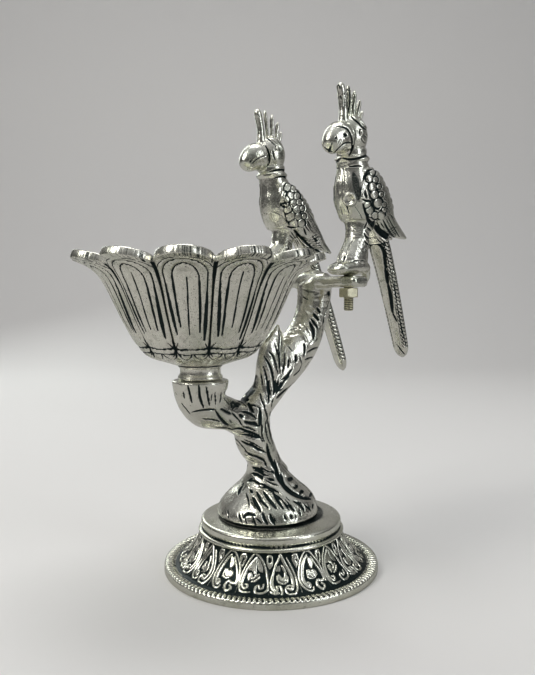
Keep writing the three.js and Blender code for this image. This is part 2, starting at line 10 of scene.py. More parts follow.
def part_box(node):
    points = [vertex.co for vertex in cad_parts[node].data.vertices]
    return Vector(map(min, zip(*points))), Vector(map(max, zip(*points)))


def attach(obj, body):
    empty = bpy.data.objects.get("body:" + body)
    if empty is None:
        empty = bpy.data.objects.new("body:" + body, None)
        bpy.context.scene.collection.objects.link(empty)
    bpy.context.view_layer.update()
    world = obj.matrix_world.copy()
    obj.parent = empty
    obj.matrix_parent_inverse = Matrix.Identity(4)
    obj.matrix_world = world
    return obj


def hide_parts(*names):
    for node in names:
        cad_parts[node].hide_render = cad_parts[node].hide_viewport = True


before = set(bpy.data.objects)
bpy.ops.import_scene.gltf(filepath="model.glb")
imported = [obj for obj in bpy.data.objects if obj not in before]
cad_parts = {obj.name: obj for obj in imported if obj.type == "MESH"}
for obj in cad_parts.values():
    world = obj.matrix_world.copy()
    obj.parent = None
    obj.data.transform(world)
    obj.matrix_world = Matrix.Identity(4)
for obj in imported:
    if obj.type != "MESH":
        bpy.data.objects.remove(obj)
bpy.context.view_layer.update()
MM = 0.001
TURN = 2 * np.pi
rng = np.random.default_rng(7)


def axis_of(node):
    low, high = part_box(node)
    return np.array([(low.x + high.x) / 2, (low.y + high.y) / 2]) / MM


# Sizes of the stand in millimetres
base_x, base_y = axis_of("base")
bowl_x, bowl_y = axis_of("bowl_washer")
GAP = 0.3
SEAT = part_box("base")[1].z / MM
ROOT_BOTTOM = SEAT + GAP
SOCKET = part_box("bowl")[0].z / MM - GAP
BOWL_BOTTOM = SOCKET + 5.5
BOWL_RADIUS, BOWL_DEPTH, NOTCH_DEPTH, BOWL_WALL = 45.8, 38.0, 7.6, 2.7
BOWL_FLOOR = BOWL_BOTTOM + BOWL_WALL + 0.9
BASE_CEILING = SEAT - 2.6
PERCH_BOTTOM, PERCH_TOP, PERCH_X, PERCH_REACH = 110.8, 115.2, 24.1, 6.9
FRONT_Y, REAR_Y = -19.4, 29.5
STUD_HOLE, BOLT_HOLE = 2.3, 3.3

# Camera of the photograph, in pixels, radians and millimetres
FOCAL, FRAME_W, FRAME_H = 700.0, 535.0, 675.0
AZIMUTH, PITCH, ROLL = math.radians(-40), math.radians(3.63), math.radians(0.22)
CAMERA = np.array([base_x - 178.06, -210.49, 108.6])


def camera_axes():
    level = math.cos(PITCH)
    forward = np.array([-math.sin(AZIMUTH) * level, math.cos(AZIMUTH) * level, -math.sin(PITCH)])
    right = np.array([math.cos(AZIMUTH), math.sin(AZIMUTH), 0.0])
    up = np.cross(right, forward)
    c, s = math.cos(ROLL), math.sin(ROLL)
    return right * c - up * s, up * c + right * s, forward


RIGHT, UP, FORWARD = camera_axes()


def pixel_ray(u, v):
    ray = FORWARD * FOCAL + RIGHT * (u - FRAME_W / 2) - UP * (v - FRAME_H / 2)
    return ray / np.linalg.norm(ray)


def seen_at(points):
    """Pixels of the photograph's frame at which world points are seen."""
    away = points - CAMERA
    depth = away @ FORWARD
    u, v = FRAME_W / 2 + FOCAL * (away @ RIGHT) / depth, FRAME_H / 2 - FOCAL * (away @ UP) / depth
    return np.stack([u, v], 1)


def pixels(crop, flat):
    """Pixels of the frame from x, y pairs drawn in a view that has its own origin and scale."""
    return np.array(crop[:2]) + np.reshape(flat, (-1, 2)) / crop[2]


# Meshes: millimetres outside, metres inside
def new_mesh(name, co, faces, smooth=True):
    """Object from points and faces that all have the same number of corners."""
    faces = np.asarray(faces, np.int32)
    data = bpy.data.meshes.new(name)
    data.vertices.add(len(co))
    data.vertices.foreach_set("co", (np.asarray(co, float) * MM).astype(np.float32).ravel())
    data.loops.add(faces.size)
    data.loops.foreach_set("vertex_index", faces.ravel())
    data.polygons.add(len(faces))
    data.polygons.foreach_set("loop_start", np.arange(0, faces.size, faces.shape[1], dtype=np.int32))
    data.polygons.foreach_set("use_smooth", np.full(len(faces), smooth))
    data.update(calc_edges=True)
    data.validate()
    piece = bpy.data.objects.new(name, data)
    bpy.context.scene.collection.objects.link(piece)
    return piece


def read(collection, key, width=3, kind=np.float32):
    values = np.zeros(len(collection) * width, kind)
    collection.foreach_get(key, values)
    return values.reshape(-1, width)


def points_of(piece):
    return read(piece.data.vertices, "co").astype(float) / MM


def normals_of(piece):
    piece.data.update()
    return read(piece.data.vertex_normals, "vector").astype(float)


def edges_of(piece):
    return read(piece.data.edges, "vertices", 2, np.int32)


def set_points(piece, co):
    piece.data.vertices.foreach_set("co", (co * MM).astype(np.float32).ravel())
    piece.data.update()


# Darkness per point for the material: the black patina and, in a few places, painted shade and painted shadow
def set_patina_and_shade(piece, values):
    attribute = piece.data.attributes.get("patina_and_shade") or piece.data.attributes.new("patina_and_shade", "FLOAT", "POINT")
    attribute.data.foreach_set("value", np.clip(values, 0, 1).astype(np.float32))


def soften(values, edges, times, share=0.5):
    """Draws each point's value, or row of values, towards the mean of its neighbours."""
    ends, others = np.concatenate([edges[:, 0], edges[:, 1]]), np.concatenate([edges[:, 1], edges[:, 0]])
    count = np.maximum(np.bincount(ends, minlength=len(values)), 1).astype(float)
    for _ in range(times):
        columns = values.reshape(len(values), -1).T
        mean = np.stack([np.bincount(ends, c[others], len(values)) / count for c in columns], 1)
        values = values + share * (mean.reshape(values.shape) - values)
    return values


def ramp(x, low, high):
    t = np.clip((x - low) / (high - low), 0, 1)
    return t * t * (3 - 2 * t)


def bell(x):
    return np.exp(-x ** 2)


def value_noise(co, size, seed):
    """Smooth noise from 0 to 1 over points, with features of a size in millimetres."""
    p = co / size + seed * 17.3
    cell = np.floor(p).astype(np.int64)
    f = p - cell
    f = f * f * (3 - 2 * f)
    total = np.zeros(len(co))
    for corner in range(8):
        offset = np.array([corner & 1, (corner >> 1) & 1, corner >> 2])
        c = cell + offset
        n = (c[:, 0] * 73856093) ^ (c[:, 1] * 19349663) ^ (c[:, 2] * 83492791) ^ (seed * 2654435761)
        n = (n ^ (n >> 13)) * 1274126177
        total += ((n ^ (n >> 16)) & 0xFFFF) / 65535.0 * np.prod(np.where(offset == 1, f, 1 - f), 1)
    return total


def line_distance(points, line):
    """Distance of 2-D or 3-D points to a broken line, and the share along it of the nearest place."""
    line = np.asarray(line, float)
    best, share = np.full(len(points), 1e9), np.zeros(len(points))
    lengths = np.linalg.norm(np.diff(line, axis=0), axis=1)
    total, done = max(lengths.sum(), 1e-9), 0.0
    for a, b, length in zip(line[:-1], line[1:], lengths):
        d = b - a
        t = np.clip(((points - a) @ d) / max(d @ d, 1e-12), 0, 1)
        gap = np.linalg.norm(points - (a + t[:, None] * d), axis=1)
        closer = gap < best
        best[closer], share[closer] = gap[closer], (done + t[closer] * length) / total
        done += length
    return best, share


def running_length(points):
    return np.concatenate([[0], np.cumsum(np.linalg.norm(np.diff(points, axis=0), axis=1))])


def catmull(points, t):
    points = np.asarray(points, float)
    last = len(points) - 1
    i = min(int(last * t), last - 1)
    w = last * t - i
    p1, p2 = points[i], points[i + 1]
    p0 = points[i - 1] if i > 0 else 2 * points[0] - points[1]
    p3 = points[i + 2] if i + 2 <= last else 2 * points[last] - points[last - 1]
    t0, t1 = 0.5 * (p2 - p0), 0.5 * (p3 - p1)
    return p1 + t0 * w + (-3 * p1 + 3 * p2 - 2 * t0 - t1) * w ** 2 + (2 * p1 - 2 * p2 + t0 + t1) * w ** 3


def bezier(points, t):
    t = np.asarray(t)[:, None]
    return (1 - t) ** 2 * points[0] + 2 * t * (1 - t) * points[1] + t ** 2 * points[2]


def smooth_line(points, steps=5):
    """Rounds a broken line off into a curve through its points."""
    points = np.asarray(points, float)
    if len(points) < 3:
        return points
    return np.array([catmull(points, t) for t in np.linspace(0, 1, steps * (len(points) - 1) + 1)])


def resampled(points, spacing):
    """The same line with a point at least every so often."""
    points = np.asarray(points, float)
    length = running_length(points)
    at = np.linspace(0, length[-1], max(2, int(length[-1] / spacing) + 2))
    return np.stack([np.interp(at, length, column) for column in points.T], 1)


def inside(points, polygon):
    """Which 2-D points lie in a polygon."""
    found = np.zeros(len(points), bool)
    for a, b in zip(polygon, np.roll(polygon, -1, 0)):
        crosses = (a[1] > points[:, 1]) != (b[1] > points[:, 1])
        x = (b[0] - a[0]) * (points[:, 1] - a[1]) / (b[1] - a[1] + 1e-12) + a[0]
        found ^= crosses & (points[:, 0] < x)
    return found


def depth_inside(points, polygon):
    """Distance of 2-D points to a polygon's edge, negative outside it."""
    polygon = np.asarray(polygon, float)
    gap, _ = line_distance(points, [*polygon, polygon[0]])
    return np.where(inside(points, polygon), gap, -gap)


def steps_around(columns):
    return np.linspace(0, TURN, columns, endpoint=False)


def around(radius, height, angle, centre=(0, 0)):
    """Points of rows of radii and heights about an upright axis."""
    x, y = centre[0] + radius * np.cos(angle), centre[1] + radius * np.sin(angle)
    return np.stack([x, y, height + 0 * angle], -1)


def grid_faces(rows, columns, wrap_rows=False):
    """Quads of a grid whose columns close on themselves."""
    i, j = np.meshgrid(np.arange(rows if wrap_rows else rows - 1), np.arange(columns), indexing="ij")
    k, n = (i + 1) % rows, (j + 1) % columns
    return np.stack([i * columns + j, i * columns + n, k * columns + n, k * columns + j], -1).reshape(-1, 4)


def closed_ring(name, rings, smooth=True):
    """Skin over rows of points that closes on itself in both directions."""
    return new_mesh(name, rings.reshape(-1, 3), grid_faces(*rings.shape[:2], True), smooth)


def capped(name, rings, ends=None):
    """Skin over rows of points with a fan over each end."""
    rings = np.asarray(rings)
    rows, columns = rings.shape[:2]
    if ends is None:
        ends = [rings[0].mean(0), rings[-1].mean(0)]
    quads = grid_faces(rows, columns)
    i = np.arange(columns)
    j = (i + 1) % columns
    first, last = np.full(columns, rows * columns), (rows - 1) * columns
    fans = [np.stack([j, i, first], 1), np.stack([i + last, j + last, first + 1], 1)]
    faces = np.concatenate([quads[:, :3], quads[:, [0, 2, 3]], *fans])
    return new_mesh(name, [*rings.reshape(-1, 3), *ends], faces)


def turned(name, profile, sides=48, centre=(0, 0)):
    """Turned solid from [radius, height] pairs, closed to the axis at both ends."""
    profile = np.asarray(profile, float)
    ends = [[*centre, profile[0, 1]], [*centre, profile[-1, 1]]]
    return capped(name, around(profile[:, :1], profile[:, 1:], steps_around(sides), centre), ends)


def pin(radius, bottom, top, x, y):
    return turned("pin", [(radius, bottom), (radius, top)], centre=(x, y))


def box(centre, size):
    corner = np.array([[x, y, z] for x in (-0.5, 0.5) for y in (-0.5, 0.5) for z in (-0.5, 0.5)])
    faces = [[0, 1, 3, 2], [4, 6, 7, 5], [0, 4, 5, 1], [2, 3, 7, 6], [0, 2, 6, 4], [1, 5, 7, 3]]
    return new_mesh("slab", corner * size + centre, faces)


def end_scale(share, rounded):
    if rounded == 0 or share >= rounded:
        return 1.0
    rest = 1 - share / rounded
    return math.sqrt(max(0.0, 1 - rest * rest))


def loft_sections(stations, side=(0, 1, 0), steps=40, upright=False):
    """Centre, across and level directions and half sizes along a loft; upright keeps every section level."""
    stations = np.asarray(stations, float)
    rows = []
    for share in np.linspace(0, 1, steps + 1):
        low, high = max(0.0, share - 1e-4), min(1.0, share + 1e-4)
        tangent = catmull(stations[:, :3], high) - catmull(stations[:, :3], low)
        if upright:
            tangent = np.array([0.0, 0.0, 1.0])
        tangent /= np.linalg.norm(tangent)
        level = np.array(side, float)
        level -= level @ tangent * tangent
        level /= np.linalg.norm(level)
        centre, half = catmull(stations[:, :3], share), catmull(stations[:, 3:5], share)
        rows.append((share, centre, np.cross(tangent, level), level, half))
    return rows


def loft(name, stations, side=(0, 1, 0), sides=28, steps=40, start_round=0, end_round=0, power=2.0,
         upright=False):
    """Tube through stations of centre, half width and half depth; a power over 2 squares its section."""
    angle = steps_around(sides)
    s, c = np.sin(angle), np.cos(angle)
    swell = (np.abs(s) ** power + np.abs(c) ** power) ** (-1 / power)
    s, c = s * swell, c * swell
    rings = []
    for share, centre, across, level, half in loft_sections(stations, side, steps, upright):
        scale = max(0.12, end_scale(share, start_round) * end_scale(1 - share, end_round))
        rings.append(centre + np.outer(s * half[0] * scale, across) + np.outer(c * half[1] * scale, level))
    return capped(name, rings)


def joined(name, parts):
    for other in bpy.context.selected_objects:
        other.select_set(False)
    for part in parts:
        part.select_set(True)
    bpy.context.view_layer.objects.active = parts[0]
    if len(parts) > 1:
        bpy.ops.object.join()
    parts[0].name = parts[0].data.name = name
    return parts[0]


def applied(piece):
    """The piece with its modifiers turned into mesh."""
    data = bpy.data.meshes.new_from_object(piece.evaluated_get(bpy.context.evaluated_depsgraph_get()))
    piece.modifiers.clear()
    old, piece.data = piece.data, data
    bpy.data.meshes.remove(old)
    return piece


def remesh(name, parts, voxel):
    """One skin over overlapping closed meshes."""
    whole = joined(name, parts)
    modifier = whole.modifiers.new("skin", "REMESH")
    modifier.mode = "VOXEL"
    modifier.voxel_size = voxel * MM
    modifier.use_smooth_shade = True
    applied(whole)
    whole.name = whole.data.name = name
    return whole


def cut(piece, *tools):
    """Subtracts small tools from a small mesh."""
    for tool in tools:
        modifier = piece.modifiers.new("cut", "BOOLEAN")
        modifier.operation = "DIFFERENCE"
        modifier.solver = "EXACT"
        modifier.object = tool
    applied(piece)
    for tool in tools:
        bpy.data.objects.remove(tool)
    return piece


class Carving:
    """Dark engraved strokes on a skin: they sink the surface and fill with patina."""

    def __init__(self, piece, rotation=np.eye(3), place=np.zeros(3)):
        self.piece, self.rotation, self.place = piece, rotation, place
        self.co, self.edges, self.normal = points_of(piece), edges_of(piece), normals_of(piece)
        self.sink, self.lift, self.patina_and_shade = np.zeros((3, len(self.co)))
        faces = [tuple(face.vertices) for face in piece.data.polygons]
        self.tree = BVHTree.FromPolygons([Vector(p) for p in self.co], faces)

    def shoot(self, u, v):
        """Point of the skin seen at a pixel of the photograph's frame."""
        return self.hit((CAMERA - self.place) @ self.rotation, pixel_ray(u, v) @ self.rotation, 1000.0)

    def hit(self, start, direction, reach):
        found, _, _, _ = self.tree.ray_cast(Vector(start), Vector(direction), reach)
        return None if found is None else np.array(found)

    def nearest(self, point):
        return np.array(self.tree.find_nearest(Vector(point))[0])

    def darken(self, values, on=slice(None)):
        self.patina_and_shade[on] = np.maximum(self.patina_and_shade[on], values)

    def deepen(self, values, on=slice(None)):
        self.sink[on] = np.maximum(self.sink[on], values)

    def heighten(self, values, on=slice(None)):
        self.lift[on] = np.maximum(self.lift[on], values)

    def under(self, line, width, reach, taper):
        """Points near a line, their distance in half widths of the tapered stroke, and its slimness there."""
        low, high = line.min(0) - reach, line.max(0) + reach
        found = np.nonzero(np.all((self.co > low) & (self.co < high), axis=1))[0]
        gap, share = line_distance(self.co[found], line)
        slim = 1 - taper * np.abs(2 * share - 1) ** 3
        return found, gap / (0.5 * width * slim), slim

    def stroke(self, line, width, depth=0.5, dark=1.0, taper=0.6, lips=0.1):
        """A groove along a line of 3-D points, thinner towards its ends, with slightly raised lips."""
        found, q, slim = self.under(np.asarray(line, float), width, width * 1.6 + 0.4, taper)
        self.deepen(depth * slim * (1 - ramp(q, 0.25, 1.35)), found)
        self.heighten(lips * slim * bell((q - 1.9) / 0.55), found)
        self.darken(dark * (1 - ramp(q, 0.75, 1.3)), found)

    def raised(self, line, width, height):
        """A worn ridge along a line of 3-D points."""
        found, q, _ = self.under(np.asarray(line, float), width, width * 1.3, 0.6)
        top = 1 - ramp(q, 0.2, 1.2)
        self.heighten(height * top, found)
        self.sink[found] *= 1 - top
        self.patina_and_shade[found] *= 1 - top

    def laid(self, line):
        """Runs of points on the skin under a line drawn over the view of the photograph."""
        found = [self.shoot(u, v) for u, v in resampled(smooth_line(line), 0.8)]
        found = [p for p in found if p is not None]
        runs, run = [], found[:1]
        for p in found[1:]:
            if np.linalg.norm(p - run[-1]) > 2.5:
                runs.append(run)
                run = []
            run.append(p)
        return [np.array(r) for r in [*runs, run] if len(r) > 1]

    def drawn(self, make, line, *style, mirror=False):
        """A stroke or ridge drawn over the photograph's view; mirror repeats it on a bird's other side."""
        for run in self.laid(line):
            make(run, *style)
            if mirror:
                make(np.array([self.nearest(p * [1, -1, 1]) for p in run]), *style)

    def finish(self):
        """Moves the points, then darkens what is hollow."""
        moved = self.co + self.normal * (self.lift - self.sink)[:, None]
        set_points(self.piece, moved)
        hollow = np.einsum("ij,ij->i", soften(moved, self.edges, 3, 0.8) - moved, normals_of(self.piece))
        self.darken(0.9 * ramp(soften(hollow, self.edges, 2), 0.05, 0.22))
        set_patina_and_shade(self.piece, self.patina_and_shade)
        return moved


# Base: raised lines and leaves of three neighbouring motifs, drawn on the unrolled skirt, with x from the
# motif's middle and y down from the bead ring to the rim. A line starts with its half width in millimetres.
SKIRT = np.array([[37.7, 2.4], [30.7, 6.6], [28.1, 14.6]])
MOTIFS, MOTIF_ANGLE, MOTIF_WIDTH, MOTIF_HEIGHT = 19, math.radians(-141.1), 568, 700
ROPE_NOTCHES = 132
MOTIF_STEM = (-284, 268, -284, 640)
MOTIF_SET = [
    {
        "lines": [
            (0.27, -42,12, -117,90, -182,180, -232,290, -264,400, -260,480, -242,560, -207,605, -122,620,
             -42,612),
            (0.3, -60,120, -137,215, -187,310, -212,400, -214,470, -192,530, -142,560, -107,530, -112,492,
             -150,490),
            (0.27, -5,12, 83,55, 148,120, 198,200, 233,290, 250,370, 268,440, 268,545, 218,600, 148,625,
             58,615, 38,560, 58,510, 104,500, 118,545, 172,535, 190,470),
            (0.27, -60,402, -12,386, 38,348, 88,325), (0.27, -42,442, 18,430, 68,396, 100,365),
        ],
        "leaves": [
            (-27,75, 28,50, 36,330, 0,345, -27,295, -72,262, -127,268, -150,245, -97,170),
            (-137,315, -72,300, -42,330, -37,375, -72,395, -82,435, -117,430, -137,380),
        ],
        "worn": [
            (40,70, 98,100, 158,200, 172,295, 108,290, 68,260, 40,200),
        ],
        "cuts": [],
        "bud": (-300,20, -222,20, -205,90, -245,190, -284,245, -325,190, -365,100, -350,40),
        "slot": (0.42, -275,95, -300,180),
    },
    {
        "lines": [
            (0.4, -42,18, 0,80, 40,150, 90,225, 135,305, 163,390, 163,470, 140,545, 95,572, 58,545),
            (0.25, 95,80, 140,150, 175,215, 210,300, 240,390, 240,480, 220,570, 175,635, 115,650, 45,640,
             13,590, 17,535, 55,505, 112,510),
            (0.29, -60,40, -95,115, -140,165, -175,235, -200,310, -230,370, -245,450, -233,530, -200,575),
            (0.36, -208,345, -223,420, -217,500, -195,560, -155,590, -135,545, -145,505),
            (0.25, -255,590, -205,625, -145,628, -105,612), (0.28, -98,500, -68,525, -53,590, -65,640),
        ],
        "leaves": [
            (-40,175, 15,190, 55,260, 65,340, 100,370, 85,430, 15,480, -65,482, -110,455, -140,410,
                -145,340, -95,312, -55,345, -25,385, 5,360, 17,300, -15,240),
        ],
        "worn": [
            (-125,190, -65,180, -45,230, -65,285, -145,285),
        ],
        "cuts": [(0.17, -105,395, -65,438, -5,452, 45,418)],
        "bud": (-310,25, -240,25, -205,60, -195,120, -205,180, -270,245, -330,180, -345,110, -340,55),
        "slot": (0.65, -272,80, -270,122),
    },
    {
        "lines": [
            (0.25, -30,12, -70,30, -120,80, -170,140, -210,215, -245,300, -262,400, -245,520, -195,590,
             -135,630, -65,620, -45,570),
            (0.42, -5,75, -55,110, -105,170, -145,240, -180,330, -195,420, -180,500, -145,555, -105,560,
            -95,515, -125,492), (0.27, 5,12, 65,20, 125,70, 185,140, 235,220, 262,310, 268,420, 250,520),
            (0.34, 85,110, 140,200, 190,290, 222,370, 235,440, 220,500, 145,500, 90,480, 50,520, 45,580,
             95,640, 155,620, 170,575, 130,548),
        ],
        "leaves": [
            (5,90, 65,120, 115,210, 75,260, 55,290, 5,270, -15,200, -15,140),
            (-90,295, -15,290, 15,320, 65,300, 125,330, 130,390, 75,430, 5,450, -55,440, -100,440, -95,360),
        ],
        "worn": [],
        "cuts": [(0.17, -65,390, -15,428, 55,415)],
        "bud": (-310,20, -220,20, -200,110, -245,190, -284,245, -320,190, -360,110, -345,40),
        "slot": (0.3, -262,112, -245,140),
    },
]


def motif_height(motif, points, unit):
    """Height from 0 (black ground) to 1 (worn bright) of a motif over points of the unrolled skirt."""
    def gap_to(flat):
        return line_distance(points, smooth_line(np.reshape(flat, (-1, 2)) * unit, 3))

    def leaf(flat):
        return ramp(depth_inside(points, np.reshape(flat, (-1, 2)) * unit), -0.16, 0.2)

    height = np.zeros(len(points))
    for half, *line in motif["lines"]:
        gap, share = gap_to(line)
        slim = 1.2 * half * (1 - 0.3 * np.abs(2 * share - 1) ** 4)
        height = np.maximum(height, 1 - ramp(gap, 0.72 * slim, 1.5 * slim))
    for key, tall in (("leaves", 1.0), ("worn", 0.5)):
        for polygon in motif[key]:
            height = np.maximum(height, tall * leaf(polygon))
    for half, *line in motif["cuts"]:
        height *= ramp(gap_to(line)[0], 0.5 * half, 1.4 * half)
    half, *line = motif["slot"]
    height = np.maximum(height, leaf(motif["bud"]) * ramp(gap_to(line)[0], 0.6 * half, 1.25 * half))
    return np.maximum(height, 0.35 * (1 - ramp(gap_to(MOTIF_STEM)[0], 0.1, 0.3)))


def skirt_relief(angle, arc):
    """Relief for every height and angle: each motif's left part may reach into the one before."""
    pitch = TURN / MOTIFS
    turns = (angle - MOTIF_ANGLE) / pitch
    index = np.floor(turns + 0.5).astype(int)
    offset = (turns - index) * MOTIF_WIDTH
    unit = np.array([31.0 * pitch / MOTIF_WIDTH, arc[-1] / MOTIF_HEIGHT])
    height = np.zeros((len(arc), len(angle)))
    for k in np.unique(index):
        chosen = index == k
        x, y = np.meshgrid(offset[chosen], (1 - arc / arc[-1]) * MOTIF_HEIGHT)
        sheet = np.stack([x.ravel(), y.ravel()], 1)
        own = motif_height(MOTIF_SET[k % 3], sheet * unit, unit)
        other = motif_height(MOTIF_SET[(k + 1) % 3], (sheet - [MOTIF_WIDTH, 0]) * unit, unit)
        height[:, chosen] = np.maximum(own, other).reshape(x.shape)
    return height


def make_base():
    columns = 1080
    skirt = bezier(SKIRT, np.linspace(0, 1, 50))
    step_top, corner = SEAT - 0.9, 1.2
    zones = {
        "wall": [(42.3, 0.0), (42.5, 0.3), (42.5, 1.3), (42.45, 2.2)],
        "rope": [(42.25, 2.7), (41.8, 3.05), (41.2, 3.2), (40.6, 3.2), (40, 3.2), (39.5, 3.15), (39.05, 2.9)],
        "valley": [(38.8, 2.45), (38.2, 2.2)],
        "skirt": [tuple(p) for p in skirt],
        "bead": [(28.1 + 0.8 * math.sin(a), 15.4 - 0.8 * math.cos(a))
                 for a in np.linspace(0.25, np.pi - 0.2, 6)],
        "teeth": [(27.5, 16.35), (27.45, 16.7), (27.6, 17.1), (27.75, 17.6)],
        "step": [(27.8, 18.3), *((27.8 + corner * (math.cos(a) - 1), step_top + corner * (math.sin(a) - 1))
                                 for a in np.linspace(0, np.pi / 2, 5))],
        "disc": [(25.6, step_top + 0.1), (24.9, step_top + 0.2), (22.5, SEAT - 0.25), (20.5, SEAT),
                 (12.0, SEAT), (3.4, SEAT)],
        "under": [(3.4, BASE_CEILING), (24.2, BASE_CEILING), (25.2, 14.6), (28.4, 9.2), (33.2, 4.0), (37.7, 0)],
    }
    profile = np.array([p for points in zones.values() for p in points])
    zone = np.repeat(list(zones), [len(points) for points in zones.values()])
    share = np.concatenate([np.linspace(0, 1, len(points)) for points in zones.values()])[:, None]
    angle = np.linspace(-np.pi, np.pi, columns, endpoint=False)
    tangent = np.gradient(profile, axis=0)
    tangent /= np.linalg.norm(tangent, axis=1)[:, None]
    normal = np.stack([tangent[:, 1], -tangent[:, 0]], 1)
    normal[zone == "under"] = 0
    lift, patina_and_shade = np.zeros((2, len(profile), columns))

    # Rope: short ridges across the rim, leaning a little, with black gaps
    rope, s = zone == "rope", share[zone == "rope"]
    wander = 0.35 * np.sin(5 * angle) + 0.25 * np.sin(13 * angle + 1)
    ridge = np.abs(np.sin(0.5 * ROPE_NOTCHES * angle + 0.9 * s + wander))
    notch = (1 - ramp(ridge, 0.34, 0.78)) * ramp(s, 0.02, 0.18)
    lift[rope], patina_and_shade[rope] = -0.7 * notch, 0.95 * notch
    hatch = ramp(rng.random(columns), 0.3, 0.8)
    lift[zone == "valley"], patina_and_shade[zone == "valley"] = -0.15 * hatch, 0.26 + 0.5 * hatch

    # Skirt: leaves and scrolls over a black ground
    arc = running_length(skirt)
    v = (arc / arc[-1])[:, None]
    end = ramp(v, 0.0, 0.07) * ramp(1 - v, 0.0, 0.02)
    height = skirt_relief(angle, arc) * end
    lift[zone == "skirt"], patina_and_shade[zone == "skirt"] = 0.42 * height - 0.25 * end, 0.94 * (1 - height ** 0.8)

    # A black line with small pale teeth under the step
    saw = np.abs(np.sin(52 * angle + 0.7 * np.sin(7 * angle))) * (0.6 + 0.4 * np.sin(11 * angle))
    notch = 1 - ramp(share[zone == "teeth"] + 0.6 * saw, 0.35, 0.95)
    lift[zone == "teeth"], patina_and_shade[zone == "teeth"] = -0.3 * notch, notch
    # A painted contact shadow on the disc around the foot of the trunk
    patina_and_shade[(zone == "disc") & (profile[:, 0] < 20.8)] = 0.6

    shaped = profile[:, None, :] + lift[..., None] * normal[:, None, :]
    rings = around(shaped[..., 0], shaped[..., 1], angle, (base_x, base_y))
    piece = closed_ring("base_cast", rings)
    co, dirt_and_shade = rings.reshape(-1, 3), patina_and_shade.ravel()
    polished = np.isin(np.repeat(zone, columns), ["step", "disc", "wall"])
    dirt_and_shade = np.where(polished, np.maximum(dirt_and_shade, 0.28 * ramp(value_noise(co, 3.0, 5), 0.62, 0.9)), dirt_and_shade)
    set_patina_and_shade(piece, dirt_and_shade + 0.16 * (value_noise(co, 5.0, 3) - 0.5))
    return piece


# Bowl
PETALS, PETAL_COLUMNS, PETAL_TURN = 12, 66, math.radians(3.3)
PETAL_SHARES = [
    (0.28, 0.035), (0.385, 0.075), (0.45, 0.125), (0.487, 0.18), (0.527, 0.25), (0.565, 0.33), (0.6, 0.41),
    (0.632, 0.49), (0.663, 0.57), (0.693, 0.65), (0.724, 0.73), (0.76, 0.81), (0.805, 0.88), (0.872, 0.94),
    (0.935, 0.972), (1.0, 1.0),
]


def petal_grooves(lean, low):
    """Lines of one petal as (x, share up the wall) pairs, their widths along the line, and their depth."""
    foot = -0.62 + lean[0], 0.66 + lean[1]
    yield [(foot[0], 0.40 + low[0]), (-0.73 + 0.4 * lean[0], 0.66), (-0.775, 0.82), (-0.76, 0.862),
           (-0.60, 0.892), (-0.30, 0.908), (0.0, 0.914), (0.30, 0.908), (0.60, 0.89), (0.765, 0.86),
           (0.775, 0.81), (0.745 + 0.4 * lean[1], 0.64), (foot[1], 0.39 + low[1])], \
        [0.5, 1.05, 0.95, 0.6, 0.5, 0.5, 0.5, 0.6, 1.0, 1.15, 0.6], 0.5
    yield [(-0.38 + lean[2], 0.42 + low[2]), (-0.44 + 0.5 * lean[2], 0.6), (-0.465, 0.76), (-0.42, 0.815),
           (-0.28, 0.850), (-0.1, 0.868), (0.06, 0.87), (0.24, 0.856), (0.40, 0.822), (0.475, 0.77),
           (0.47 + 0.5 * lean[3], 0.6), (0.42 + lean[3], 0.40 + low[3])], \
        [0.4, 0.8, 0.7, 0.75, 0.5, 0.5, 0.5, 0.7, 0.7, 0.75, 0.4], 0.45
    yield [(lean[4], 0.79 + low[4]), (0.5 * lean[4], 0.6), (-0.5 * lean[4], 0.41 + low[5])], \
        [0.3, 0.45, 0.5, 0.35], 0.35
    yield [(-1.0, 0.312), (-0.7, 0.296 + 0.3 * low[4]), (-0.3, 0.286), (0.0, 0.283), (0.4, 0.287),
           (0.75, 0.298), (1.0, 0.312)], [1.1, 0.75, 0.5, 0.42, 0.5, 0.75, 1.1], 0.4
    yield [(-1.0, 0.262), (-0.5, 0.247 + 0.3 * low[5]), (0.0, 0.243), (0.5, 0.247), (1.0, 0.262)], \
        [0.8, 0.5, 0.35, 0.5, 0.8], 0.3
    for side in (-1, 1):
        yield [(side, 0.975), (side, 0.80), (side, 0.60), (side, 0.42)], [1.2, 0.8, 0.6, 0.5], 0.55
        yield [(side * 0.74 + lean[5], 0.342), (side * 0.88, 0.318), (side, 0.29), (side * 0.9, 0.258),
               (side * 0.72, 0.228)], [0.3, 0.6, 0.9, 0.6, 0.3], 0.4
        yield [(side, 0.42), (side, 0.36), (side, 0.30)], [0.5, 0.7, 0.9], 0.45
    yield [(-0.97, 0.928), (-0.5, 0.943), (0.0, 0.948), (0.5, 0.943), (0.97, 0.928)], \
        [0.5, 0.3, 0.25, 0.3, 0.5], 0.2
    reach = 0.40 + 2 * low[3]
    for middle in (-0.52 + 2 * low[2], 0.5 + 2 * low[2]):
        yield [(middle - reach, 0.243), (middle - 0.7 * reach, 0.214), (middle, 0.192 + 0.3 * low[1]),
               (middle + 0.7 * reach, 0.210), (middle + reach, 0.243)], [0.55, 0.35, 0.18, 0.3, 0.6], 0.22


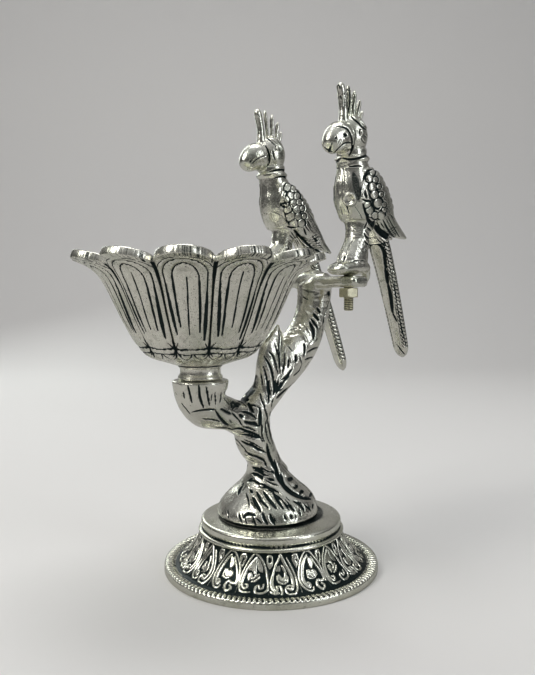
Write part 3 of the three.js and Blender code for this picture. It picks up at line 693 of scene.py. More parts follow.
def make_bowl():
    columns = PETAL_COLUMNS * PETALS
    points = [(8.7, BOWL_BOTTOM)] + [(r * BOWL_RADIUS, BOWL_BOTTOM + z * BOWL_DEPTH) for r, z in PETAL_SHARES]
    curve = np.array([catmull(points, t) for t in np.linspace(0, 1, 900)])
    length = running_length(curve)
    tip = length[-1]
    tangent = np.gradient(curve, axis=0)
    tangent /= np.linalg.norm(tangent, axis=1)[:, None]
    angle = PETAL_TURN + steps_around(columns)
    petal = np.arange(columns) // PETAL_COLUMNS
    a = 2 * (np.arange(columns) % PETAL_COLUMNS) / PETAL_COLUMNS - 1
    notch = np.abs(a) ** 2.2 * NOTCH_DEPTH / tip

    def wall(v, inset):
        """Radius and height rows of the wall, with the edge cut down towards the notches."""
        at = v * (1 - notch * np.minimum(1, 2 * v)) * tip
        r, z, tr, tz = (np.interp(at, length, column) for column in (*curve.T, *tangent.T))
        return r - tz * inset, z + tr * inset, tr, tz

    parts = ((0.0, 0.15, 7), (0.16, 0.42, 31), (0.43, 0.775, 24), (0.785, 1.0, 28))
    outer = np.concatenate([np.linspace(*part) for part in parts])[:, None]
    r, z, tr, tz = wall(outer, 0)
    v = outer * np.ones(columns)
    across = a * np.ones_like(outer)
    sink, dark = np.zeros((2, *r.shape))

    def groove(k, line, widths, depth):
        """Cuts a line into the columns of a petal."""
        own = petal == k
        line = smooth_line(line, 6)
        unit_x, x, y = (np.pi / PETALS * r[:, own]).ravel(), across[:, own].ravel(), v[:, own].ravel()
        best, place = np.full(x.size, 1e9), np.zeros(x.size)
        steps = np.linalg.norm(np.diff(line * [8.0, tip], axis=0), axis=1)
        total, done = steps.sum(), 0.0
        for p, q, step in zip(line[:-1], line[1:], steps):
            dx, dy = (q[0] - p[0]) * unit_x, (q[1] - p[1]) * tip
            ex, ey = (x - p[0]) * unit_x, (y - p[1]) * tip
            t = np.clip((ex * dx + ey * dy) / np.maximum(dx * dx + dy * dy, 1e-9), 0, 1)
            gap = np.hypot(ex - t * dx, ey - t * dy)
            closer = gap < best
            best[closer], place[closer] = gap[closer], (done + t[closer] * step) / total
            done += step
        half = 0.57 * np.interp(place, np.linspace(0, 1, len(widths)), widths)
        q = (best / half).reshape(len(outer), -1)
        shoulder = 0.22 * depth / 0.5 * (1 - ramp(q, 0.6, 4.5))
        sink[:, own] = np.maximum(sink[:, own], np.maximum(shoulder, depth * (1 - ramp(q, 0.3, 1.35))))
        dark[:, own] = np.maximum(dark[:, own], 1 - ramp(q, 0.8, 1.3))

    for k in range(PETALS):
        for line, widths, depth in petal_grooves(rng.uniform(-0.06, 0.06, 8), rng.uniform(-0.03, 0.03, 6)):
            groove(k, line, widths, depth)

    # Grain that runs around the wall, with dark flecks in it
    spin = around(1, 0, angle)[:, :2]
    field = np.concatenate([np.tile(spin * 9, (len(outer), 1)), (v * tip / 0.55).reshape(-1, 1)], 1)
    flecks = value_noise(field, 1.0, 11).reshape(r.shape)
    band = ramp(v, 0.30, 0.42) * (1 - ramp(v, 0.88, 0.95))
    dark = np.maximum(dark, 0.16 * ramp(flecks, 0.45, 0.8) * band)
    sink += 0.05 * flecks * band

    # Upright file marks on the lip, broken up along their length
    marks = rng.random(columns)
    lip = ramp(v, 0.945, 0.958) * (1 - 0.3 * ramp(v, 0.985, 1.0))
    patchy = 0.62 + 0.38 * value_noise(np.column_stack([spin * 30, 0 * angle]), 4.0, 4)
    filed = ramp(marks, 0.48, 0.82) * patchy
    broken = 0.68 + 0.32 * rng.random((len(outer), columns))
    dark = np.maximum(dark, 0.95 * filed * lip * broken)
    sink += 0.11 * filed * lip
    # Painted shadow at the foot of the outer wall, where it meets the collar
    dark = np.maximum(dark, 0.85 * (1 - ramp(v, 0.0, 0.035)))

    # Petals swell between their grooves and curl at the lip
    swell = 0.28 * (1 - a ** 2) * ramp(v, 0.3, 0.5) * (1 - ramp(v, 0.9, 1.0))
    move = swell - sink - 0.8 * np.abs(across) ** 6 * np.minimum(1, 4 * v)
    outer_r, outer_z = r + tz * move, z - tr * move

    # The plain inside has a soft valley between petals; the rim has fine file marks
    inner = np.linspace(1.0, 0.22, 15)[:, None]
    inner_r, inner_z, tr, tz = wall(inner, BOWL_WALL)
    ridge = 0.35 * np.abs(a) ** 5 * ramp(inner, 0.3, 0.6)
    inner_r, inner_z = inner_r - tz * ridge, inner_z + tr * ridge
    scratch = 0.09 * filed
    rim = []
    for t in (0.12, 0.35, 0.65, 0.88):
        bulge = 0.22 * math.sin(math.pi * t)
        rim.append((outer_r[-1] * (1 - t) + inner_r[0] * t + bulge * 0.8 - scratch,
                    outer_z[-1] * (1 - t) + inner_z[0] * t + bulge * 0.3 - scratch))

    # Rows of radius, height and darkness from the collar up the outside and down the inside to the hole
    bottom, hole, ones = SOCKET + GAP, 2.4, np.ones(columns)
    # The collar's top rows carry painted shadow where the wall meets it
    collar = [(7.8, 0, 0.15), (8.15, 0.35, 0.15), (8.2, 0.8, 0.15), (8.05, 1.25, 0.15), (7.55, 1.75, 0.15),
              (7.4, 2.4, 0.15), (7.4, 3.6, 0.15), (7.5, 4.1, 0.15), (7.85, 4.5, 0.15), (8.1, 4.8, 0.4),
              (8.0, 5.0, 0.95), (7.8, 5.12, 0.95)]
    floor = [(12.0, BOWL_FLOOR, 0.3), (8.0, BOWL_FLOOR, 0.25), (hole, BOWL_FLOOR, 0.5),
             (hole, BOWL_BOTTOM, 0.6), (hole, bottom, 0.6)]
    rows = [(radius * ones, (bottom + rise) * ones, shade * ones) for radius, rise, shade in collar]
    rows += zip(outer_r, outer_z, dark)
    rows += [(*row, np.clip(0.14 + 5.5 * scratch, 0, 0.6)) for row in rim]
    rows += zip(inner_r, inner_z, 0.5 * np.abs(a) ** 8 * ramp(inner, 0.25, 0.5))
    rows += [(radius * ones, height * ones, shade * ones) for radius, height, shade in floor]
    radius, height, dirt_and_shade = np.array(rows).transpose(1, 0, 2)
    rings = around(radius, height, angle, (bowl_x, bowl_y))
    piece = closed_ring("bowl_cast", rings)
    set_patina_and_shade(piece, dirt_and_shade.ravel() + 0.14 * (value_noise(rings.reshape(-1, 3), 4.0, 9) - 0.5))
    return piece


# Trunk
def stations(rows, reach, bottom, rise, girth):
    """Loft stations from rows of offset, height, half width and half depth, in shares of the given sizes."""
    return [[base_x + o * reach, base_y + sum(y), bottom + h * rise, a * girth, b * girth]
            for o, h, a, b, *y in rows]


TRUNK_RISE = PERCH_BOTTOM - ROOT_BOTTOM
ROOT = stations([
    (-0.04, -1.5, 0.86, 0.86), (-0.08, 0.6, 0.99, 0.99), (-0.09, 2.5, 0.99, 0.98), (-0.075, 4.8, 0.95, 0.95),
    (-0.05, 7.2, 0.87, 0.87), (-0.045, 9.6, 0.75, 0.75), (-0.045, 12.2, 0.6, 0.61), (-0.08, 15.8, 0.44, 0.45),
    (-0.14, 19.6, 0.35, 0.36),
], 20, ROOT_BOTTOM, 1, 20)
TRUNK = stations([
    (-0.066, 0.174, 1.24, 1.26), (-0.12, 0.214, 1.01, 1.03), (-0.166, 0.247, 0.94, 0.96),
    (-0.241, 0.286, 0.97, 0.96), (-0.332, 0.326, 1.07, 0.97), (-0.39, 0.37, 1.1, 0.97),
    (-0.398, 0.415, 1.09, 0.96), (-0.373, 0.452, 1.03, 0.96), (-0.299, 0.485, 0.93, 0.97),
    (-0.178, 0.516, 0.85, 1), (-0.037, 0.554, 0.9, 1), (0.116, 0.604, 1.06, 1.03), (0.307, 0.655, 1.21, 1.04),
    (0.498, 0.702, 1.22, 1.04), (0.689, 0.756, 1.16, 1.04), (0.83, 0.814, 1.04, 1.01), (0.929, 0.877, 1, 1),
    (0.988, 0.937, 1.01, 1.01),
], PERCH_X, ROOT_BOTTOM, TRUNK_RISE, 6.8)
HORN = stations([
    (-0.997, 4.8, 1.63, 1.61), (-0.968, 7.6, 1.54, 1.49), (-0.905, 10.2, 1.42, 1.38), (-0.79, 12.3, 1.2, 1.2),
    (-0.62, 14.2, 1.04, 1.07), (-0.42, 17.2, 1.12, 1.02), (-0.26, 21.6, 1.15, 1.05),
], 33.5, SOCKET, -1, 5.9)
# The leaf's sections stand in front of the trunk's axis by the last number
LEAF = stations([
    (-0.249, 0.499, 0.72, 0.9, -0.8), (-0.178, 0.544, 0.76, 0.86, -1), (-0.133, 0.597, 0.81, 0.79, -1.4),
    (-0.091, 0.655, 1, 0.74, -1.9), (-0.054, 0.719, 0.97, 0.62, -2.2), (0.021, 0.77, 0.76, 0.45, -2.5),
    (0.071, 0.837, 0.07, 0.09, -2.6),
], PERCH_X, ROOT_BOTTOM, TRUNK_RISE, 5.8)
BRANCH_TOP = [[base_x + PERCH_X, base_y + 0.1, PERCH_BOTTOM + 1, 6.9, 7.38],
              [base_x + 24.0, base_y + 0.9, PERCH_TOP - 0.8, 5.3, 7.7]]


def perch_parts():
    """Flat bar with rounded edges and a hump over the branch; the bar narrows towards its ends."""
    low, high = FRONT_Y - PERCH_REACH, REAR_Y + PERCH_REACH
    middle, tall = 0.5 * (PERCH_BOTTOM + PERCH_TOP), 0.5 * (PERCH_TOP - PERCH_BOTTOM)
    corner, narrow = 1.7, 0.7
    turn = np.radians(np.concatenate([np.linspace(start, start + 90, 7) for start in (0, 90, 180, 270)]))
    side_x, side_z = np.repeat([[1, -1, -1, 1], [1, 1, -1, -1]], 7, axis=1)
    rings = []
    for y in np.linspace(low, high, 64):
        near = abs(y - 1.0) / (20.4 if y < 1 else 28.5)
        end = min(y - low, high - y, narrow) / narrow
        half = 3.75 + 1.2 * max(0.0, 1 - near ** 2) + 0.25 * math.sin(0.55 * y + 1) + narrow * math.sqrt(end)
        drop = narrow * (1 - math.sqrt(1 - (1 - end) ** 2))
        x = side_x * (half - corner) + corner * np.cos(turn)
        z = middle + side_z * (tall - drop - corner) + corner * np.sin(turn)
        rings.append(np.stack([base_x + PERCH_X + x, np.full(len(x), base_y + y), z], 1))
    bar = capped("perch", rings)
    level, top = 113.0, 5.2
    shoulder = 0.82 * top
    humps = (-9.5, 1.6, 4), (-3.725, shoulder, 5.6), (1, top, 6.0), (5.725, shoulder, 5.6), (11.5, 1.6, 4)
    hump = [[base_x + PERCH_X, base_y + y, level, wide, deep] for y, wide, deep in humps]
    return bar, loft("hump", hump, side=(1, 0, 0), sides=40, steps=40)


# Views of the photograph's frame on which the bark's lines are drawn: left, top and scale
SOCKET_VIEW, FORK_VIEW = (160, 355, 10.81), (222, 380, 11)
UPPER_VIEW, ROOT_VIEW = (255, 268, 10), (210, 465, 12)

# Engraved lines of the bark seen from the front: width in millimetres, depth, then x, y pairs
BARK = {
    SOCKET_VIEW: [
        (0.9, 0.5, 300,330, 320,420, 345,520), (1, 0.5, 420,320, 430,450, 470,570),
        (0.8, 0.45, 500,340, 535,545), (0.6, 0.4, 595,400, 605,540), (0.6, 0.4, 665,400, 650,520),
        (0.6, 0.4, 690,460, 750,540), (0.8, 0.4, 340,620, 440,600, 520,590, 610,590),
        (1.1, 0.5, 600,600, 660,690, 740,765), (0.8, 0.4, 650,585, 765,625),
        (0.7, 0.35, 455,690, 560,700, 650,720), (0.6, 0.35, 230,520, 325,640), (0.7, 0.35, 250,400, 262,470),
        (0.6, 0.3, 560,420, 556,500), (0.9, 0.45, 590,780, 770,800),
    ],
    FORK_VIEW: [
        (0.7, 0.4, 110,330, 150,290, 190,300), (0.7, 0.4, 230,250, 270,290), (0.8, 0.45, 215,215, 245,150),
        (0.7, 0.45, 250,200, 280,130), (0.8, 0.45, 280,170, 305,90), (0.6, 0.4, 180,240, 225,230),
        (0.6, 0.4, 300,130, 325,60), (0.7, 0.4, 260,240, 300,210), (1.1, 0.5, 0,320, 50,350, 100,370),
        (0.8, 0.4, 0,460, 60,500),
        (1.1, 0.55, 0,520, 60,530, 110,545, 190,535, 270,565, 350,590, 420,630, 450,680),
        (0.5, 0.3, 80,430, 110,480), (1.3, 0.6, 215,345, 280,360, 340,390, 375,430),
        (1.5, 0.6, 190,380, 240,410), (1.6, 0.7, 250,460, 310,470, 360,480, 395,510),
        (0.6, 0.35, 180,430, 220,500), (0.8, 0.45, 220,515, 300,530, 370,560),
        (1, 0.5, 200,600, 280,605, 350,625, 420,640),
        (1.1, 0.55, 210,670, 270,700, 330,720, 390,760, 440,780, 480,800),
        (1.1, 0.55, 250,780, 320,825, 390,850, 450,880, 480,910),
        (0.5, 0.3, 130,630, 190,690, 250,760, 300,830), (0.6, 0.4, 300,880, 350,900),
        (0.9, 0.5, 330,960, 400,975, 440,1000), (1.1, 0.55, 330,1030, 400,1050, 450,1090),
        (0.9, 0.45, 340,1100, 420,1150), (0.6, 0.35, 290,1100, 340,1080), (0.9, 0.45, 500,1080, 550,1110),
        (0.7, 0.4, 540,1000, 580,1030), (0.9, 0.45, 470,900, 490,950),
        (0.7, 0.45, 420,150, 440,230, 470,290, 480,350), (0.9, 0.5, 500,60, 510,150, 510,250),
        (0.8, 0.45, 440,340, 430,420, 440,520, 440,600, 470,680),
        (1, 0.55, 465,290, 500,400, 510,500, 540,620, 560,700),
        (0.7, 0.45, 500,400, 480,520, 500,620, 530,700), (0.7, 0.45, 530,350, 530,450, 560,580, 590,700),
        (0.9, 0.5, 390,290, 420,330, 410,420, 420,500), (1.6, 0.75, 495,700, 520,830, 550,900, 570,970),
        (1.9, 0.9, 580,880, 610,1040, 660,1130, 740,1210, 840,1270, 940,1310),
        (1.3, 0.6, 720,1090, 760,1080), (1.3, 0.6, 790,1190, 830,1170), (1.1, 0.5, 850,1240, 890,1210),
        (0.6, 0.35, 660,930, 740,1010, 820,1090, 900,1160, 980,1200), (0.8, 0.45, 520,0, 520,100, 530,160),
        (1.1, 0.55, 590,0, 580,80, 570,160), (0.9, 0.5, 650,20, 620,100, 590,160),
        (1.1, 0.55, 720,90, 650,150, 600,200), (0.6, 0.35, 560,210, 545,300),
        (1.5, 0.6, 290,250, 320,320, 350,360), (0.6, 0.35, 600,740, 620,830, 640,900),
        (0.8, 0.4, 110,360, 150,400, 180,440),
    ],
    UPPER_VIEW: [
        (1.2, 0.7, 618,395, 655,450), (1.4, 0.75, 580,450, 640,522), (1.3, 0.7, 560,505, 600,560, 635,605),
        (1.5, 0.6, 545,540, 580,620, 590,710), (0.94, 0.5, 490,750, 500,830, 490,880),
        (0.77, 0.45, 240,640, 250,700, 240,800, 250,900, 250,1050),
        (0.77, 0.45, 195,740, 220,820, 240,900, 240,1000), (0.94, 0.5, 130,830, 180,880, 210,960, 235,1060),
        (1.1, 0.55, 90,880, 150,980, 180,1080, 190,1200), (0.85, 0.5, 85,980, 110,1080, 130,1200, 140,1260),
        (0.68, 0.45, 300,840, 295,950, 270,1060), (1.1, 0.6, 410,865, 410,945),
        (0.85, 0.5, 380,1000, 320,1080, 260,1120), (0.59, 0.4, 470,960, 440,1030, 380,1080),
        (0.94, 0.55, 230,1130, 210,1240), (0.94, 0.55, 340,1080, 280,1150, 240,1230),
        (0.85, 0.5, 320,1210, 250,1270), (0.59, 0.4, 540,940, 500,1000), (0.51, 0.35, 430,1110, 330,1200),
        (0.68, 0.4, 520,840, 600,800, 650,800), (0.68, 0.4, 500,915, 560,895, 610,905, 650,880),
        (0.59, 0.4, 740,330, 720,400, 690,500, 680,600, 660,700, 650,780), (1.1, 0.5, 690,505, 680,565),
        (2, 0.5, 725,250, 750,262), (0.42, 0.3, 480,215, 540,240, 600,240), (0.42, 0.3, 480,290, 530,320),
        (0.42, 0.3, 350,620, 420,600), (0.42, 0.25, 330,780, 380,840), (0.51, 0.35, 450,880, 470,960),
        (0.77, 0.5, 340,900, 330,1000), (0.59, 0.4, 60,1060, 80,1180),
    ],
    ROOT_VIEW: [
        (0.8, 0.4, 560,60, 640,110, 700,130), (0.7, 0.4, 600,20, 680,70, 740,90),
        (0.7, 0.35, 660,180, 740,220, 820,250), (0.8, 0.4, 590,220, 680,250, 740,300),
        (0.6, 0.35, 740,60, 790,120, 820,190), (0.7, 0.4, 700,290, 780,350, 850,420),
        (1.6, 0.5, 400,220, 360,290, 340,360), (0.6, 0.3, 430,330, 460,420, 470,500),
        (1.1, 0.5, 480,290, 510,340), (1.5, 0.6, 510,380, 550,460, 590,530, 610,560),
        (1.3, 0.6, 560,320, 600,400, 650,460, 700,520), (1.5, 0.6, 640,320, 700,400, 770,490, 800,530),
        (1.3, 0.6, 760,340, 820,430, 880,530), (1.1, 0.5, 820,360, 880,430, 950,540),
        (1.3, 0.6, 880,400, 950,480, 1010,550), (1.2, 0.55, 1000,430, 1080,480, 1130,550),
        (1.1, 0.5, 1060,440, 1150,490, 1210,550), (2.1, 0.9, 850,100, 880,230, 960,320, 1080,380, 1210,405),
        (1, 0.45, 510,30, 570,60, 640,90), (1.1, 0.5, 500,100, 580,120, 640,170),
        (0.8, 0.4, 520,190, 600,220), (0.7, 0.4, 450,190, 520,190), (0.9, 0.45, 700,160, 770,180),
        (1.1, 0.5, 640,260, 720,280, 830,330), (1.6, 0.6, 940,190, 990,150), (1.6, 0.6, 1010,280, 1050,240),
        (1.3, 0.55, 1080,350, 1120,310), (1.2, 0.5, 1190,380, 1230,330),
        (0.8, 0.4, 1040,150, 1120,230, 1190,310, 1250,400, 1262,450), (0.9, 0.45, 345,580, 360,640, 385,690),
        (1.1, 0.45, 400,640, 430,600, 490,590, 550,610), (0.5, 0.3, 420,640, 440,700),
        (0.8, 0.4, 510,610, 530,670, 555,730), (0.9, 0.4, 560,640, 620,700),
        (1.3, 0.55, 630,570, 650,640, 690,710), (1.4, 0.6, 720,590, 740,650, 775,710),
        (0.9, 0.45, 890,600, 920,660), (1, 0.45, 965,590, 990,650), (0.6, 0.35, 1020,590, 1040,650),
        (0.8, 0.4, 1065,540, 1095,610), (0.9, 0.4, 1180,480, 1210,550), (0.7, 0.3, 210,540, 225,640),
        (0.5, 0.25, 150,560, 160,620), (1.2, 0.5, 1240,470, 1225,520),
    ],
}

# Worn ridges beside them: width, height, then x, y pairs
RIDGES = {
    UPPER_VIEW: [
        (1.2, 0.35, 520,370, 600,432), (1.2, 0.35, 500,430, 570,500), (1.2, 0.35, 490,560, 540,625),
        (1.4, 0.4, 450,620, 520,735), (1.2, 0.3, 440,570, 500,640), (1.4, 0.35, 560,770, 620,720),
        (1.3, 0.3, 350,870, 370,960),
    ],
    FORK_VIEW: [
        (1.3, 0.35, 240,430, 300,440, 350,450), (1.3, 0.3, 230,495, 300,500), (0.8, 0.25, 455,560, 470,620),
        (1.4, 0.4, 690,1040, 710,1070), (1.4, 0.4, 770,1140, 800,1170), (1.4, 0.4, 880,1260, 905,1280),
    ],
    ROOT_VIEW: [
        (1.3, 0.35, 450,215, 465,270), (1.2, 0.3, 620,400, 690,470, 740,540),
        (1.1, 0.3, 700,350, 770,440, 850,520), (1, 0.3, 810,350, 870,400, 940,480),
        (1, 0.3, 1090,450, 1130,490, 1140,540),
    ],
}
# Line of the fork between the two branches, in pixels of the frame
FORK_SHADE = [(233, 405), (243, 399), (252, 389), (256, 379)]


def bark_rules(carving):
    """Strokes of the same kind on the sides that the photograph doesn't show, run along the trunk."""
    camera_side = np.array([-0.643, -0.766])

    def run(rows, steps, first, turn, lean, fewest, *limits):
        """Stroke through sections of a loft, turning by lean at each, with limits for width and depth."""
        line = []
        for k in steps:
            _, centre, across, level, half = rows[k]
            angle = turn + lean * (k - first)
            point = centre + across * math.sin(angle) * half[0] + level * math.cos(angle) * half[1]
            out = (point - centre)[:2]
            if out @ camera_side <= 0.15 * np.linalg.norm(out):
                line.append(carving.nearest(point))
        if len(line) >= fewest:
            carving.stroke(line, *(rng.uniform(*pair) for pair in limits))

    rows = loft_sections(TRUNK, steps=60)
    for start in range(4, 56, 3):
        for side in range(9):
            turn = TURN * (side + 0.5 * (start % 2)) / 9 + rng.uniform(-0.2, 0.2)
            run(rows, range(start, min(start + 5, 60)), start, turn, 0.1, 3, (0.5, 0.9), (0.35, 0.5))
    rows = loft_sections(ROOT, steps=60, upright=True)
    for ring, (first, last) in enumerate(((12, 30), (30, 48))):
        for side in range(30):
            turn = TURN * (side + 0.5 * ring) / 30 + rng.uniform(-0.05, 0.05)
            stop = last - rng.integers(0, 6)
            steps = range(first + rng.integers(0, 5), stop, 3)
            run(rows, steps, first, turn, 0.012, 3, (0.6, 0.95), (0.35, 0.5))
    rows = loft_sections(HORN, steps=40)
    for side in range(16):
        turn = TURN * side / 16 + rng.uniform(-0.1, 0.1)
        for first, last in ((0, 12), (14, 26), (26, 38)):
            run(rows, range(first + rng.integers(0, 4), last, 3), first, turn, 0, 2, (0.5, 0.75), (0.3, 0.45))


def beside_stroke(carving, line, width):
    """Shorter, thinner lines on both sides of a drawn one, in the photograph's frame."""
    along = line[-1] - line[0]
    across = np.array([-along[1], along[0]]) / np.linalg.norm(along)
    points = resampled(line, 1.0)
    for side in (-1, 1):
        first, last = sorted(rng.uniform(0, 1, 2))
        if last - first < 0.35:
            continue
        shift = side * (rng.uniform(1.5, 2.2) + 0.8 * width)
        part = points[int(first * len(points)):int(last * len(points)) + 1]
        if len(part) > 2:
            style = rng.uniform(0.35, 0.55), 0.25, rng.uniform(0.6, 0.95)
            carving.drawn(carving.stroke, part[::3] + across * shift, *style)


def make_trunk():
    root = loft("root", ROOT, sides=72, steps=44, upright=True)
    trunk = loft("trunk", [*TRUNK, *BRANCH_TOP], sides=48, steps=110)
    socket = [[bowl_x, bowl_y, SOCKET + rise, 10.3, 10.3] for rise in (2, -1)]
    horn = loft("horn", [*socket, *HORN], sides=56, steps=60)
    leaf = loft("leaf", LEAF, sides=32, steps=40)
    bar, hump = perch_parts()
    cut(root, pin(BOLT_HOLE, ROOT_BOTTOM - 6, ROOT_BOTTOM + 13, base_x, base_y),
        box((base_x, base_y, ROOT_BOTTOM - 10), (80, 80, 20)))
    cut(horn, box((bowl_x, bowl_y, SOCKET + 10), (60, 60, 20)))
    cut(horn, pin(STUD_HOLE, SOCKET - 9, SOCKET + 3, bowl_x, bowl_y))
    holes = [pin(STUD_HOLE, PERCH_BOTTOM - 3, PERCH_TOP + 3, base_x + PERCH_X, y) for y in (FRONT_Y, REAR_Y)]
    cut(bar, *holes)
    piece = remesh("trunk_cast", [root, trunk, horn, leaf, bar, hump], 0.42)
    set_points(piece, soften(points_of(piece), edges_of(piece), 3))
    carving = Carving(piece)
    co = carving.co
    height = co[:, 2]

    # Uneven cast surface, flatter on the perch
    perch = ramp(height, PERCH_BOTTOM - 1.5, PERCH_BOTTOM)
    seat = np.clip((height - ROOT_BOTTOM - 0.4) / 1.5, 0, 1)
    near_socket = np.hypot(co[:, 0] - bowl_x, co[:, 1] - bowl_y) < 12
    calm = np.where(near_socket, np.clip(SOCKET - GAP - height, 0, 1), 1) * seat * (1 - 0.35 * perch)
    lumps = value_noise(co, 4.5, 21) + 0.5 * value_noise(co, 2.2, 22) - 0.75
    carving.sink += 0.192 * np.clip(lumps, -0.5, 0.7) * calm

    # Crinkled skin on the upper branch
    slanted = co @ np.array([[0.55, 0, -0.45], [0, 1.0, 0], [0.75, 0, 1.6]])
    crinkle = 0.7 * value_noise(slanted, 1.9, 24) + 0.8 * value_noise(slanted, 1.2, 25) - 0.75
    carving.sink += 0.30 * np.clip(crinkle, -0.5, 0.6) * ramp(height, 84, 94) * (1 - 0.45 * perch) * calm

    bark_rules(carving)
    for view, strokes in BARK.items():
        for width, depth, *flat in strokes:
            line = pixels(view, flat)
            if view in (ROOT_VIEW, FORK_VIEW) and len(line) > 2 and width < 1.8:
                beside_stroke(carving, line, width)
            carving.drawn(carving.stroke, line, width, depth)
    for view, strokes in RIDGES.items():
        for width, rise, *flat in strokes:
            carving.drawn(carving.raised, pixels(view, flat), width, rise)

    # Painted shade and black patina in the fork between the two branches, only on slopes that face the camera
    gap, _ = line_distance(seen_at(co), FORK_SHADE)
    shaded = (1 - ramp(gap, 1.5, 7.5)) * (height < 92) * ramp(value_noise(co, 1.5, 27), 0.1, 0.6)
    carving.darken(0.8 * shaded * ramp(-(carving.normal @ FORWARD), -0.15, 0.15))

    # A painted contact shadow as a dark line around the foot of the mound, patina and painted shade in patches
    # under the perch, and patina in patches
    carving.darken(0.9 * (1 - ramp(np.abs(height - ROOT_BOTTOM - 0.5), 0.2, 0.9)))
    under = (height < PERCH_BOTTOM + 0.6) & (height > PERCH_BOTTOM - 4)
    carving.darken(0.35 * value_noise(co[under], 2.0, 30), under)
    carving.darken(0.35 * ramp(value_noise(co, 7.0, 23), 0.62, 0.85) * (1 - perch))
    carving.finish()
    return piece


